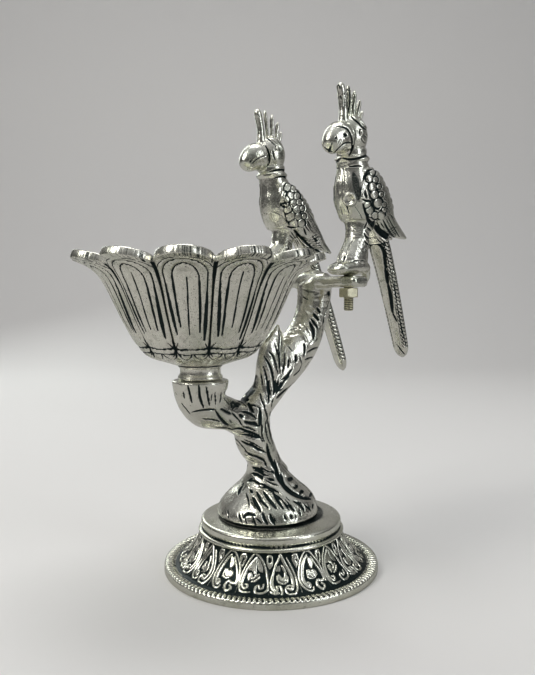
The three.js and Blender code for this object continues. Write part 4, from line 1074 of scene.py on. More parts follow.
# Birds: views of the photograph's frame on which their lines are drawn; an engraved line has its width
# in millimetres, depth and darkness, a raised one (crests) its width and height, then x, y pairs. The scales
# of the wing have their centres and radii, then the outline that they fill.
HEAD_VIEW, BODY_VIEW, TAIL_VIEW, REAR_VIEW = (318, 76, 13), (325, 150, 11), (365, 240, 10), (237, 100, 8)
FRONT = {
    "y": FRONT_Y, "turn": 8, "stance": 0.0, "wing": (36.6, 16.6), "tail": (41.0, -35.0),
    "crests": {
        HEAD_VIEW: [
            (0.9, 0.4, 530,560, 580,610, 620,665, 645,705), (1.5, 0.5, 572,715, 568,760),
            (1, 0.3, 634,750, 634,785), (0.8, 0.3, 350,905, 300,950, 250,1010),
        ],
        BODY_VIEW: [
            (0.8, 0.35, 420,330, 400,400, 392,480, 400,560), (0.7, 0.3, 400,560, 425,650, 440,720, 455,780),
            (0.6, 0.25, 575,690, 640,600), (0.9, 0.3, 225,200, 240,300, 262,420),
            (1.1, 0.3, 215,200, 205,330, 205,460),
        ],
        TAIL_VIEW: [
            (0.5, 0.3, 278,500, 290,600, 300,700, 312,760), (0.45, 0.25, 300,820, 320,890),
        ],
    },
    "lines": {
        HEAD_VIEW: [
            (1.1, 0.65, 1, 240,655, 310,660, 370,680, 412,730, 437,790, 447,850, 447,920, 432,980, 405,1030),
            (0.69, 0.5, 1, 205,1015, 240,970, 290,920, 340,880, 390,862, 440,868),
            (1.5, 0.6, 1, 338,760, 376,776), (0.9, 0.35, 0.9, 218,812, 244,800),
            (1.1, 0.05, 0.7, 172,900, 155,950, 140,990), (0.7, 0.05, 0.6, 185,860, 172,900),
            (1.1, 0.2, 0.35, 310,820, 285,860, 262,910), (0.5, 0.2, 0.7, 352,935, 370,930),
            (0.56, 0.2, 0.55, 465,700, 485,760, 478,830, 466,900, 448,975),
            (1.1, 0.5, 0.95, 435,540, 480,572, 530,612, 580,662, 625,700),
            (0.62, 0.4, 1, 565,690, 545,710, 540,740, 552,775), (0.62, 0.4, 1, 600,745, 608,775, 628,795),
            (0.5, 0.2, 0.6, 560,800, 590,850, 620,870),
            (1.1, 0.55, 1, 505,1075, 560,1062, 610,1040, 670,1020), (0.62, 0.3, 0.8, 265,110, 287,160),
            (0.62, 0.3, 0.8, 287,245, 305,300), (0.56, 0.3, 0.9, 378,175, 360,210, 335,250),
            (0.44, 0.25, 0.5, 350,260, 340,330, 345,420),
            (0.62, 0.3, 0.9, 395,130, 412,180, 415,300, 405,400, 390,490),
            (0.44, 0.3, 0.8, 455,215, 470,260, 465,330, 450,420, 440,480),
            (0.44, 0.3, 0.8, 535,300, 540,350, 525,420, 500,500),
        ],
        BODY_VIEW: [
            (1.1, 0.55, 1, 195,88, 240,100, 300,104, 370,90, 430,72, 490,58),
            (0.7, 0.4, 0.95, 262,182, 310,178, 370,175, 412,182), (0.5, 0.3, 0.5, 150,165, 200,178, 262,182),
            (3.2, 0.14, 0.57, 312,258, 332,330, 344,400, 358,470, 372,540),
            (0.5, 0.3, 0.9, 398,400, 392,460, 402,520), (0.4, 0.25, 0.6, 322,610, 362,670, 395,725, 412,770),
            (0.35, 0.15, 0.4, 280,640, 285,720), (1, 0.6, 1, 520,212, 480,225, 455,262, 430,310, 420,345),
            (1.1, 0.5, 1, 440,440, 445,480, 465,530), (0.9, 0.5, 0.95, 415,545, 460,560, 520,560),
            (0.9, 0.6, 1, 412,590, 432,650, 448,705, 480,760),
            (1.6, 0.9, 1, 455,745, 500,800, 560,860, 620,915), (3, 1, 1, 520,800, 580,870, 640,920, 700,965),
            (1, 0.6, 1, 640,770, 680,850, 730,930, 770,970),
            (0.7, 0.5, 1, 690,720, 730,800, 775,880, 820,955), (0.5, 0.35, 0.8, 675,590, 720,700, 765,790),
            (0.5, 0.3, 0.9, 575,800, 600,850), (0.5, 0.3, 0.9, 610,800, 650,860),
            (0.35, 0.25, 0.85, 668,745, 690,780), (0.35, 0.25, 0.85, 680,775, 715,820),
            (0.35, 0.25, 0.85, 695,820, 735,860), (0.35, 0.25, 0.85, 720,860, 755,900),
            (0.35, 0.25, 0.85, 745,900, 785,935), (0.35, 0.2, 0.7, 690,610, 720,650),
            (0.35, 0.2, 0.7, 710,660, 745,710), (0.35, 0.2, 0.7, 730,715, 770,760),
            (0.6, 0.4, 1, 425,870, 450,820, 465,790), (0.7, 0.4, 1, 465,850, 505,890),
            (1, 0.5, 1, 430,915, 460,960, 500,975), (0.9, 0.5, 1, 435,1000, 470,1035, 510,1055),
            (0.5, 0.3, 0.7, 440,1085, 480,1120), (0.5, 0.25, 0.5, 300,850, 350,870, 400,860),
            (0.5, 0.25, 0.5, 300,900, 350,915, 410,900), (0.5, 0.25, 0.4, 270,950, 330,970, 400,960),
            (0.6, 0.25, 0.5, 230,985, 210,1060, 150,1160, 80,1240),
            (0.5, 0.2, 0.4, 280,1060, 240,1140, 180,1220), (0.5, 0.35, 0.9, 545,1040, 600,1050, 625,1100),
            (0.45, 0.3, 0.9, 560,960, 600,1010), (0.45, 0.3, 0.9, 600,1000, 650,1060),
            (0.45, 0.3, 0.9, 640,1000, 690,1080), (0.45, 0.3, 0.9, 690,1010, 720,1090),
            (0.45, 0.3, 0.9, 730,1030, 750,1110),
        ],
        TAIL_VIEW: [
            (1.5, 0.7, 1, 130,45, 165,75, 190,130, 200,210, 205,300),
            (1.6, 0.7, 1, 200,280, 215,360, 230,450),
            (1.7, 0.7, 1, 225,430, 245,510, 260,600, 270,690, 280,740),
            (0.9, 0.5, 1, 270,720, 300,780, 318,815), (0.5, 0.3, 0.85, 295,180, 285,280, 275,360),
            (0.5, 0.3, 0.85, 290,380, 300,470, 315,600, 325,680),
            (0.6, 0.35, 0.9, 325,680, 345,780, 370,900, 400,1000, 410,1080),
            (0.7, 0.5, 1, 320,1045, 350,1090, 395,1145),
        ],
    },
    "scales": (BODY_VIEW,
        (525,245,27, 492,312,34, 557,325,26, 525,405,39, 597,400,22, 545,490,39, 622,485,22, 585,585,43,
            468,605,34, 492,660,38, 552,722,31, 620,725,38, 655,600,20, 500,722,16, 655,660,22, 455,250,12),
        (490,205, 560,212, 610,300, 650,400, 672,500, 690,600, 690,700, 640,770, 560,775, 480,755, 435,690,
            415,600, 470,545, 450,430, 430,340, 455,260)),
}
REAR = {
    "y": REAR_Y, "turn": -3, "stance": 1.8, "wing": (34.0, 12.0), "tail": (45.6, -44.6),
    "crests": {
        REAR_VIEW: [
            (0.8, 0.4, 240,300, 300,330, 350,375, 365,400), (1.3, 0.45, 324,378, 322,400),
            (0.9, 0.35, 380,700, 368,760, 345,820), (0.7, 0.3, 372,900, 395,960, 405,1005),
            (0.7, 0.3, 228,660, 236,740, 255,850),
        ],
    },
    "lines": {
        REAR_VIEW: [
            (0.85, 0.6, 1, 190,352, 222,368, 246,400, 260,450, 258,500, 246,525),
            (0.45, 0.4, 0.95, 112,515, 150,480, 190,458, 240,443), (0.7, 0.3, 0.8, 116,475, 102,500),
            (0.7, 0.45, 0.9, 232,300, 270,330, 310,365), (0.5, 0.4, 1, 318,365, 305,385, 308,405),
            (0.5, 0.4, 1, 340,380, 348,400, 340,415), (0.8, 0.35, 0.75, 285,405, 292,440, 308,480),
            (0.9, 0.55, 1, 262,572, 310,562, 360,556, 410,552), (0.7, 0.45, 1, 290,628, 340,614, 400,610),
            (0.6, 0.35, 0.7, 205,600, 240,600, 280,598), (0.7, 0.4, 0.9, 395,660, 378,690, 372,730),
            (0.9, 0.45, 0.9, 340,850, 365,828, 400,828), (0.9, 0.4, 0.8, 345,820, 360,850, 400,860),
            (0.6, 0.4, 0.9, 372,880, 388,930, 398,980), (0.9, 0.6, 1, 400,1010, 440,1022, 475,1018),
            (1.4, 0.8, 1, 455,1040, 500,1090, 550,1140, 600,1180, 660,1210, 725,1225),
            (0.9, 0.5, 1, 535,1025, 555,1080), (0.8, 0.45, 1, 565,965, 595,1020),
            (0.9, 0.45, 1, 620,1100, 642,1128), (0.5, 0.3, 0.9, 545,1000, 580,1050),
            (0.5, 0.3, 0.9, 560,985, 600,1050), (0.5, 0.3, 0.9, 600,1080, 640,1150),
            (0.6, 0.35, 0.9, 560,870, 610,960, 680,1090, 740,1190), (0.4, 0.25, 0.8, 650,1150, 700,1200),
            (0.35, 0.25, 0.6, 262,885, 320,905, 370,940, 400,985),
            (0.35, 0.2, 0.5, 245,700, 240,780, 260,870), (0.5, 0.35, 0.9, 420,1080, 460,1120, 485,1170),
            (0.5, 0.35, 0.9, 415,1130, 450,1165), (0.5, 0.3, 0.8, 410,1185, 440,1200),
            (0.5, 0.3, 0.9, 470,1080, 520,1150, 550,1195), (0.5, 0.3, 0.8, 430,1050, 470,1110, 500,1160),
            (0.4, 0.3, 0.8, 165,110, 185,140), (0.4, 0.3, 0.8, 205,130, 228,190, 222,260),
            (0.4, 0.3, 0.8, 262,150, 270,190, 258,255), (0.4, 0.3, 0.8, 305,175, 312,220, 298,280),
        ],
    },
    "scales": (REAR_VIEW,
        (408,697,27, 450,714,23, 434,765,28, 479,768,24, 403,792,20, 453,825,26, 498,818,22, 530,822,14,
            408,880,28, 480,872,29, 520,868,18, 430,932,36, 488,932,25, 456,988,33, 514,985,27, 538,930,17,
            396,838,16, 470,725,10, 440,850,12),
        (395,660, 430,662, 470,690, 520,760, 552,850, 580,940, 560,1000, 520,1020, 440,1018, 398,985,
            380,900, 368,850, 382,780, 380,700)),
}


def tail_curve(bird, shares):
    return bezier(np.array([[14.0, 24.5], [22.5, 17.0], bird["tail"]]), shares)


def bird_parts(bird):
    def spine(name, rows, **form):
        """Loft through rows of x, z, half width and half depth in the bird's middle plane."""
        return loft(name, [[x, 0, z, wide, deep] for x, z, wide, deep in rows], **form)

    s = bird["stance"]
    body = spine("body", [
        (1.6, 49, 6.08, 5.77), (2.0 + 0.1 * s, 45, 6.2, 6.01), (2.6 + 0.4 * s, 41, 6.82, 6.51),
        (3.4 + 0.8 * s, 36.5, 8.56, 7.54), (4.6 + s, 31, 9.2, 8.1), (6.4 + s, 25.5, 8.65, 7.54),
        (7.2 + s, 21.5, 6.81, 6.26), (6.0 + s, 17.6, 4.9, 4.9), (5.4 + s, 13.5, 5.1, 4.9),
        (4.0 + 0.5 * s, 9.5, 6.08, 5.19), (2.4, 5.5, 7.35, 5.39), (1.6, 2.5, 7.84, 4.9),
    ], sides=48, steps=90)
    ring = [(2.0, 44.4, 6.4, 6.3), (1.95, 45.3, 7.0, 6.9), (1.9, 46.2, 6.4, 6.3)]
    ring = spine("ring", ring, sides=48, steps=10)
    skull = []
    for share in (-1, -0.885, -0.667, -0.36, 0, 0.36, 0.667, 0.885, 1):
        wide = max(0.09, math.sqrt(1 - share ** 2))
        skull.append((1.1, 54.1 + 8.3 * share, 6.75 * wide, 6.35 * wide))
    skull = spine("skull", skull, sides=44, steps=48)
    beak = spine("beak", [
        (-4.0, 52.9, 6.1, 5.3), (-7.4, 52.4, 5.9, 5.15), (-10.4, 50.1, 4.9, 4.35), (-12.6, 46.5, 2.8, 2.8),
    ], sides=36, steps=36, end_round=0.17)
    # Feathers of the crest: foot x, tip x, tip z, half width at the foot, middle and tip, half thickness
    crest = []
    for foot, tip_x, tip_z, low, middle, high, thick in (
        (-3.4, -6.2, 73.4, 2.0, 1.55, 1.75, 1.7), (-0.2, -1.0, 73.4, 0.75, 0.55, 0.95, 1.15),
        (1.9, 3.4, 72.3, 0.85, 0.75, 0.7, 1.1), (4.0, 7.0, 69.4, 0.85, 0.75, 0.75, 1.1),
        (5.6, 8.8, 65.4, 0.8, 0.7, 0.7, 1.0),
    ):
        if bird is REAR and foot > -1:
            foot, tip_x, low, middle = foot - 0.1, tip_x - 1.1 - 0.07 * tip_x, low + 0.05, middle + 0.12
        lean = 0.45 if foot < -3 else 0.9
        reach, rise = tip_x - foot, tip_z - 57
        crest.append(spine("feather", [
            (foot, 57.0, low * 1.25, thick * 1.3), (foot + 0.1 * reach, 59.3, low * 1.1, thick * 1.15),
            (foot + 0.28 * reach + 0.2 * lean, 57 + 0.45 * rise, middle, thick),
            (foot + 0.62 * reach + 0.3 * lean, 57 + 0.74 * rise, middle * 1.1, thick),
            (tip_x, tip_z, high, thick),
        ], sides=24, steps=34, end_round=0.14))
    tip_x, tip_z = bird["wing"]
    wings = [loft("wing", [
        [2.8, hand * 4.6, 42.6, 2.2, 1.9], [5.8, hand * 6.6, 37, 5.2, 2.28],
        [10.0, hand * 7.2, 31, 6.3, 2.28], [14.8, hand * 6.8, 25.6, 6.0, 2.09],
        [20.2, hand * 5.6, 21.4, 4.5, 1.9],
        [0.5 * (20.2 + tip_x), hand * 4.4, 0.4 * 21.4 + 0.6 * tip_z, 2.6, 1.52],
        [tip_x, hand * 3.4, tip_z, 0.6, 0.7],
    ], sides=36, steps=60, start_round=0.12, power=2.6) for hand in (-1, 1)]
    shares = np.linspace(0, 1, 7)
    tail = np.column_stack([tail_curve(bird, shares), 3.6 - 1.3 * shares, 4.9 * (1 - 0.33 * shares ** 2)])
    tail = spine("tail", tail, sides=36, steps=80, end_round=0.06, power=2.4)
    sole = spine("sole", [
        (12.1, 3.2, 2.4, 3.8), (4.0, 3.6, 3.4, 5.3), (-2.0, 3.3, 3.2, 5.3), (-7.0, 2.6, 2.5, 4.77),
        (-10.3, 1.8, 1.6, 3.7),
    ], sides=40, steps=44, start_round=0.15, end_round=0.2)
    claw = [(7.0, 5.0, 1.8, 2.4), (10.4, 4.2, 1.7, 2.2), (12.0, 1.0, 1.5, 1.9), (11.8, -2.8, 0.9, 1.2)]
    claw = spine("claw", claw, sides=28, steps=30, end_round=0.2)
    for part in (body, sole):
        cut(part, box((0, 0, GAP - 5), (70, 70, 10)), pin(STUD_HOLE, -3, 6.3, 0, 0))
    return [body, ring, skull, beak, *crest, *wings, tail, sole, claw]


def lay_scales(carving, bird):
    """Overlapping round feathers with black gaps on the outside of both wings."""
    view, centres, outline = bird["scales"]
    centres, outline = np.reshape(centres, (-1, 3)), np.reshape(outline, (-1, 2))
    co = carving.co
    for hand in (-1, 1):
        facing = carving.normal[:, 1] * hand
        on = np.nonzero((co[:, 1] * hand > 1.0) & (facing > 0.0) & (co[:, 2] > 12))[0]
        world = (co[on] * [1, -hand, 1]) @ carving.rotation.T + carving.place
        u, v = ((seen_at(world) - view[:2]) * view[2]).T
        reach = [np.hypot(u - x, (v - y) * 0.9) / radius for x, y, radius in centres]
        nearest, second = np.sort(reach, axis=0)[:2]
        field = ramp(depth_inside(np.stack([u, v], 1), outline), -6, 6) * ramp(facing[on], 0.0, 0.2)
        field *= 1 - ramp(nearest, 1.45, 1.75)
        rib = np.maximum(ramp(nearest, 0.95, 1.13), 1 - ramp(second - nearest, 0.14, 0.36)) * field
        carving.heighten(0.05 * (1 - np.clip(nearest, 0, 1) ** 8) * field, on)
        carving.deepen(0.24 * rib, on)
        carving.darken(rib, on)


def back_feathers(carving):
    """Rows of round feathers on the back and shoulders, which the photograph doesn't show."""
    co = carving.co
    away = CAMERA - (co @ carving.rotation.T + carving.place).mean(0)
    away /= np.linalg.norm(away)
    facing = [(carving.normal * [1, hand, 1]) @ carving.rotation.T @ away for hand in (1, -1)]
    unseen = 1 - ramp(np.maximum(*facing), 0.05, 0.25)
    on = np.nonzero((co[:, 2] > 21) & (co[:, 2] < 42) & (co[:, 0] > 4.5) & (unseen > 0))[0]
    down = (co[on][:, [0, 2]] - [5, 41]) @ np.array([0.62, -0.785])
    best = np.full(len(on), 1.5)
    for row in range(9):
        for column in range(-4, 5):
            side = co[on, 1] - 2.9 * (column + 0.5 * (row % 2))
            best = np.minimum(best, np.hypot(down - 2.7 * row, side) / 1.45)
    strength = unseen[on] * (1 - ramp(down, 19.5, 22))
    rib = ramp(best, 0.86, 1.12) * strength
    carving.heighten(0.3 * (1 - np.clip(best, 0, 1) ** 3) * strength, on)
    carving.deepen(0.4 * rib, on)
    carving.darken(0.95 * rib, on)


def tail_hatch(carving, bird):
    """Slanting barbs along both edges of the long tail and a dark line down its back."""
    co = carving.co
    gap, share = line_distance(co[:, [0, 2]], tail_curve(bird, np.linspace(0, 1, 60)))
    on = (gap < 5.2) & (share > 0.10) & (co[:, 2] < 20.5)
    front = carving.normal[:, 0] < 0
    side = np.abs(co[:, 1])
    across = side / (4.9 * (1 - 0.4 * share ** 2))
    ends, start = on * (1 - ramp(share, 0.9, 0.94)), ramp(share, 0.14, 0.2)
    edge = ramp(across, np.where(front, 0.58, 0.35), np.where(front, 0.66, 0.42)) * ends
    barb = (1 - ramp(np.abs(((share * 62.0 - 2.0 * side) / 1.75) % 1 - 0.5), 0.10, 0.22)) * edge
    inner = bell((across - np.where(front, 0.62, 0.38)) / 0.035) * ends * start
    outer = bell((across - 0.8) / 0.03) * on * (1 - ramp(share, 0.88, 0.92)) * front * start
    spine = (1 - ramp(side, 0.2, 0.5)) * on * ~front * (1 - ramp(share, 0.9, 0.95))
    for dark, deep in ((barb, 0.22), (np.maximum(inner, outer), 0.28), (spine, 0.4)):
        carving.deepen(deep * dark)
        carving.darken(0.92 * dark)


def carve_rules(carving, bird):
    """Neck grooves, ankle wrinkles and the cuts between the toes and between the crest's feathers."""
    def on_side(hand, points, start=30, reach=40):
        found = [carving.hit((x, hand * start, z), (0, -hand, 0), reach) for x, z in points]
        return [p for p in found if p is not None]

    x, y, z = carving.co.T
    for height, strong in ((46.9, 1.0), (43.8, 0.85)):
        ring = bell((z - height - 0.06 * x) / 0.42) * (np.hypot(x - 2, y) < 9) * ramp(x, 2.0, 5.0) * strong
        carving.deepen(0.4 * ring)
        carving.darken(ring)
    shift = 0.5 * bird["stance"]
    for hand in (-1, 1):
        for u, v in ((7.4, 14.6), (8.6, 12.0), (7.4, 9.0)):
            carving.stroke(on_side(hand, [(u + shift, v), (u + shift - 1.2, v - 2.0)]), 0.6, 0.3, 0.85)
        foot = on_side(hand, [(10.4, 6.4), (6.4, 5.6), (2.0, 5.9), (-2.0, 5.7), (-5.6, 4.8)])
        carving.stroke(foot, 0.6, 0.3, 0.75)
    for side in (-1.8, 1.8):
        starts = [(u, side * (1 + 0.04 * u), 30) for u in np.linspace(-9.6, -2.2, 7)]
        toes = [carving.hit(start, (0, 0, -1), 60) for start in starts]
        carving.stroke([p for p in toes if p is not None], 0.8, 0.55)
    # Dark feet of the crest feathers on both sides of the ridge
    for u in (-1.7, 0.9, 3.3, 5.2):
        for hand in (-1, 1):
            line = [p for p in on_side(hand, [(u, 61.5), (u, 60.0), (u, 58.8)], 8, 16) if abs(p[1]) < 4]
            if len(line) > 1:
                carving.stroke(line, 0.6, 0.3, 0.9)


def chest_boss(carving, u, v, radius):
    """Raised ring with a hollow middle on the chest."""
    reach = np.linalg.norm(carving.co - carving.shoot(u, v), axis=1) / radius
    rim = bell((reach - 1.0) / 0.22)
    carving.heighten(0.75 * rim)
    carving.sink *= 1 - rim
    carving.deepen(0.35 * (1 - ramp(reach, 0.35, 0.8)))
    carving.patina_and_shade *= reach >= 1.1
    carving.darken(np.maximum(0.55 * bell((reach - 0.72) / 0.13), 0.6 * bell((reach - 1.36) / 0.12)))


def make_bird(name, bird):
    piece = remesh(name, bird_parts(bird), 0.30)
    set_points(piece, soften(points_of(piece), edges_of(piece), 2))
    c, s = math.cos(math.radians(bird["turn"])), math.sin(math.radians(bird["turn"]))
    rotation = np.array([[c, -s, 0], [s, c, 0], [0, 0, 1]])
    place = np.array([base_x + PERCH_X, base_y + bird["y"], PERCH_TOP])
    carving = Carving(piece, rotation, place)
    co = carving.co
    calm = ramp(co[:, 2], 0.5, 1.6) * (np.hypot(co[:, 0], co[:, 1]) > 2.9)
    lumps = value_noise(co, 3.4, 31) + 0.5 * value_noise(co, 1.6, 32) - 0.75
    carving.sink += 0.12 * np.clip(lumps, -0.5, 0.7) * calm
    leg = (1 - ramp(co[:, 2], 17, 21)) * (co[:, 0] < 13) * calm
    crinkle = value_noise(co, 1.7, 34) + 0.6 * value_noise(co, 0.9, 35) - 0.8
    carving.sink += 0.34 * np.clip(crinkle, -0.5, 0.6) * leg
    back_feathers(carving)
    lay_scales(carving, bird)
    tail_hatch(carving, bird)
    carve_rules(carving, bird)
    for view, strokes in bird["crests"].items():
        for width, height, *flat in strokes:
            carving.drawn(carving.raised, pixels(view, flat), width, height, mirror=True)
    for view, strokes in bird["lines"].items():
        for width, depth, dark, *flat in strokes:
            carving.drawn(carving.stroke, pixels(view, flat), width, depth, dark, mirror=view != TAIL_VIEW)
    if bird is FRONT:
        chest_boss(carving, 349.5, 199.5, 2.1)
    set_points(piece, carving.finish() @ rotation.T + place)
    return piece


# Fasteners, made about their own axis
def threaded(name, radius, bottom, top, thread=0.7, depth=0.32):
    """Round bar with a cut thread and small chamfers at both ends."""
    turn, z = np.meshgrid(steps_around(40), np.linspace(bottom, top, int((top - bottom) / 0.1) + 1))
    saw = np.abs(((z / thread - turn / TURN) % 1) - 0.5) * 2
    end = np.minimum(z - bottom, top - z)
    r = np.minimum(radius - depth * (1 - ramp(saw, 0.1, 0.85)), radius - 0.55 + end)
    piece = capped(name, around(r, z, turn), [[0, 0, bottom], [0, 0, top]])
    set_patina_and_shade(piece, np.concatenate([1 - ramp(saw.ravel(), 0.1, 0.6), [0.2, 0.2]]))
    return piece


def hexagon(name, flats, bottom, top, hole):
    """Hexagon nut with chamfered corners, or a bolt head where the hole's radius is small."""
    angle = steps_around(120)
    inner, corner = flats / 2, flats / math.sqrt(3)
    side = inner / np.cos((angle + np.pi / 6) % (np.pi / 3) - np.pi / 6)
    chamfer = 0.55 * (corner - inner) + 0.25
    # Rows of radius and height; those of the six sides are cut off at the flats
    face = [(hole + 0.35, 0), (0.5 * (hole + inner), 0), (inner - 0.12, 0)]
    flank = [(inner - 0.05 + t * (corner - inner + 0.06), chamfer * t) for t in np.linspace(0, 1, 5)]
    rows = [(r, bottom + z, 0) for r, z in face] + [(r, bottom + z, 1) for r, z in flank]
    rows += [(r, top - z, 1) for r, z in flank[::-1]] + [(r, top - z, 0) for r, z in face[::-1]]
    rows += [(hole, top - 0.35, 0), (hole, bottom + 0.35, 0)]
    radius, height, on = (np.array(column)[:, None] for column in zip(*rows))
    rings = around(np.where(on, np.minimum(side, radius), radius), height, angle)
    piece = closed_ring(name, rings, smooth=False)
    spots = ramp(value_noise(rings.reshape(-1, 3), 1.5, 41), 0.5, 0.8)
    set_patina_and_shade(piece, np.repeat(np.where(on, 0.1, 0.25), len(angle)) + 0.25 * spots)
    return piece


def ring_of(name, inner, outer, bottom, top):
    corner = 0.18
    profile = np.array([
        (inner, bottom + corner), (inner + corner, bottom), (outer - corner, bottom),
        (outer, bottom + corner), (outer, top - corner), (outer - corner, top), (inner + corner, top),
        (inner, top - corner),
    ])
    piece = closed_ring(name, around(profile[:, :1], profile[:, 1:], steps_around(96)))
    stain(piece, 1.6, 42, 0.35)
    return piece


def stain(piece, size, seed, strength=0.3, more=0):
    """Patches of patina on a fastener."""
    set_patina_and_shade(piece, strength * ramp(value_noise(points_of(piece), size, seed), 0.4, 0.8) + more)


def put(piece, x, y, z=0.0, turn=0.0):
    """Moves a piece's points from its own axis to its place on the stand."""
    u, v, w = points_of(piece).T
    c, s = math.cos(math.radians(turn)), math.sin(math.radians(turn))
    set_points(piece, np.stack([u * c - v * s + x, u * s + v * c + y, w + z], 1))
    return piece


def make_fasteners():
    """Each fastener with the CAD node that it replaces and the body that it rides on."""
    stud_top, stud_length, nut_top, nut_height = 6.0, 19.6, -4.7, 3.7
    for side, bird in (("front", FRONT), ("rear", REAR)):
        place = base_x + PERCH_X, base_y + bird["y"], PERCH_TOP, bird["turn"]
        stud = threaded(f"stud_{side}_bar", 2.0, stud_top - stud_length, stud_top)
        nut = hexagon(f"nut_{side}_hex", 7.0, nut_top - nut_height, nut_top, STUD_HOLE)
        yield put(stud, *place), f"stud_{side}", f"bird_{side}"
        yield put(nut, *place), f"nut_{side}", f"bird_{side}"
    washer_top, thick = BASE_CEILING - GAP, 1.2
    washer = ring_of("base_washer_ring", BOLT_HOLE, 6.0, washer_top - thick, washer_top)
    yield put(washer, base_x, base_y), "base_washer", "stand"
    head_top = washer_top - thick - GAP
    shank = threaded("shank", 3.0, head_top - 1.0, ROOT_BOTTOM + 12.0, 1.0, 0.35)
    bolt = remesh("base_bolt_cast", [hexagon("head", 10.0, head_top - 4.0, head_top, 0.6), shank], 0.16)
    stain(bolt, 1.4, 43)
    yield put(bolt, base_x, base_y), "base_bolt", "stand"
    washer_low, thick = BOWL_FLOOR + GAP, 1.0
    washer = ring_of("bowl_washer_ring", STUD_HOLE, 5.0, washer_low, washer_low + thick)
    yield put(washer, bowl_x, bowl_y), "bowl_washer", "stand"
    seat = washer_low + thick + GAP
    profile = [(2.0, seat - 0.2), (2.0, seat), (3.8, seat), (4.0, seat + 0.2), (4.0, seat + 1.2)]
    for turn in np.linspace(0.15, np.pi / 2, 8):
        profile.append((4.0 - 1.2 * (1 - math.cos(turn)), seat + 1.2 + 1.2 * math.sin(turn)))
    profile += [(1.6, seat + 2.4), (0.4, seat + 2.4)]
    head = cut(turned("screw_head", profile, 72), box((0, 0, seat + 2.4), (12, 1.1, 2.2)))
    shank = threaded("screw_shank", 2.0, SOCKET - 8.0, seat + 0.6)
    screw = joined("bowl_screw_cast", [head, shank])
    co = points_of(screw)
    stain(screw, 1.2, 44, more=0.5 * (np.abs(co[:, 1]) < 0.6) * (co[:, 2] > seat + 1.0))
    yield put(screw, bowl_x, bowl_y), "bowl_screw", "stand"


# Materials
def emptied(owner):
    """Function that adds a node to a cleared material or world."""
    owner.use_nodes = True
    tree = owner.node_tree
    tree.nodes.clear()

    def node(kind, inputs, output=0, **settings):
        """New node's output; an input is a number, a tuple or the output of another node."""
        made = tree.nodes.new("ShaderNode" + kind)
        for key, value in settings.items():
            setattr(made, key, value)
        for key, value in inputs.items():
            if isinstance(value, bpy.types.NodeSocket):
                tree.links.new(value, made.inputs[key])
            else:
                made.inputs[key].default_value = value
        return made.outputs[output] if len(made.outputs) else None

    return node


def mixed(node, factor, a, b):
    """Colour between two colours, which are sockets 6 and 7 of this node."""
    return node("Mix", {0: factor, 6: a, 7: b}, 2, data_type="RGBA")


def metal(name, bright, warm, rough, seed, rugged=1.7, pitting=1.0):
    """Cast metal, black where the patina value is high, which holds the black patina and, in places, painted
    shade; rugged sets its dents, pitting its dark specks.
    """
    material = bpy.data.materials.new(name)
    node = emptied(material)
    place = node("TexCoord", {}, "Object")

    def noise(scale, detail, roughness=0.5, stretch=(1, 1, 1)):
        shift = seed, seed * 0.3, seed * 0.7
        where = node("Mapping", {"Vector": place, "Location": shift, "Scale": stretch})
        values = {"Vector": where, "Scale": scale, "Detail": detail, "Roughness": roughness}
        return node("TexNoise", values, "Fac")

    def spread(value, low, high, to_low=0.0, to_high=1.0, kind="SMOOTHSTEP"):
        limits = {"From Min": low, "From Max": high, "To Min": to_low, "To Max": to_high}
        return node("MapRange", {"Value": value, **limits}, interpolation_type=kind)

    def math_of(operation, *values):
        return node("Math", dict(enumerate(values)), operation=operation)

    def add(a, b):
        return math_of("ADD", a, b)

    def times(a, b):
        return math_of("MULTIPLY", a, b)

    # The patina attribute brings in the black patina and, in a few places, painted shade and painted shadow
    hollow = node("Attribute", {}, "Fac", attribute_name="patina_and_shade")
    speckle = math_of("SUBTRACT", noise(2600, 3, 0.7), 0.5)
    lines = spread(add(hollow, times(speckle, 0.6)), 0.28, 0.62)
    pits = spread(noise(2300, 2, 0.6), 0.60, 0.70)
    patches = spread(noise(140, 3, 0.6), 0.40, 0.62)
    dirt_and_shade = math_of("MAXIMUM", lines, times(pits, add(times(patches, 0.6 * pitting), 0.3 * pitting)))
    haze = spread(noise(90, 3), 0.42, 0.68)
    tarnish = spread(noise(420, 5, 0.65), 0.52, 0.72)
    pale = mixed(node, haze, (*bright, 1), (*warm, 1))
    dull = mixed(node, times(tarnish, 0.5), pale, (*(0.45 * c for c in warm), 1))
    gloss = add(times(tarnish, 0.10), times(noise(700, 3, 0.5, (1, 1, 0.25)), 0.12))
    fine = add(times(noise(2600, 3, 0.6), 0.5), times(noise(900, 4, 0.55), 0.8))
    grain = add(fine, times(noise(340, 2, 0.5), rugged))
    shader = node("BsdfPrincipled", {
        "Base Color": mixed(node, dirt_and_shade, dull, (0.010, 0.018, 0.018, 1)),
        "Metallic": spread(dirt_and_shade, 0.0, 1.0, 1.0, 0.45, "LINEAR"),
        "Specular IOR Level": spread(dirt_and_shade, 0.0, 1.0, 0.5, 0.12, "LINEAR"),
        "Roughness": add(add(gloss, rough - 0.06), times(dirt_and_shade, 0.16)),
        "Normal": node("Bump", {"Strength": 0.45, "Distance": 0.00016, "Height": grain}),
    })
    node("OutputMaterial", {"Surface": shader})
    return material


silver = metal("antique_silver", (0.87, 0.86, 0.77), (0.70, 0.72, 0.62), 0.22, 1.7, 3.2, 0.8)
silver_bowl = metal("antique_silver_bowl", (0.91, 0.895, 0.80), (0.73, 0.74, 0.63), 0.26, 6.3, 1.0, 1.5)
silver_base = metal("antique_silver_base", (0.93, 0.93, 0.82), (0.79, 0.805, 0.67), 0.21, 4.1, 1.8, 0.7)
zinc = metal("fastener_steel", (0.80, 0.76, 0.56), (0.62, 0.58, 0.40), 0.30, 2.9)


def dress(piece, material, node_name, body):
    piece.data.materials.clear()
    piece.data.materials.append(material)
    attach(piece, body)
    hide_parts(node_name)


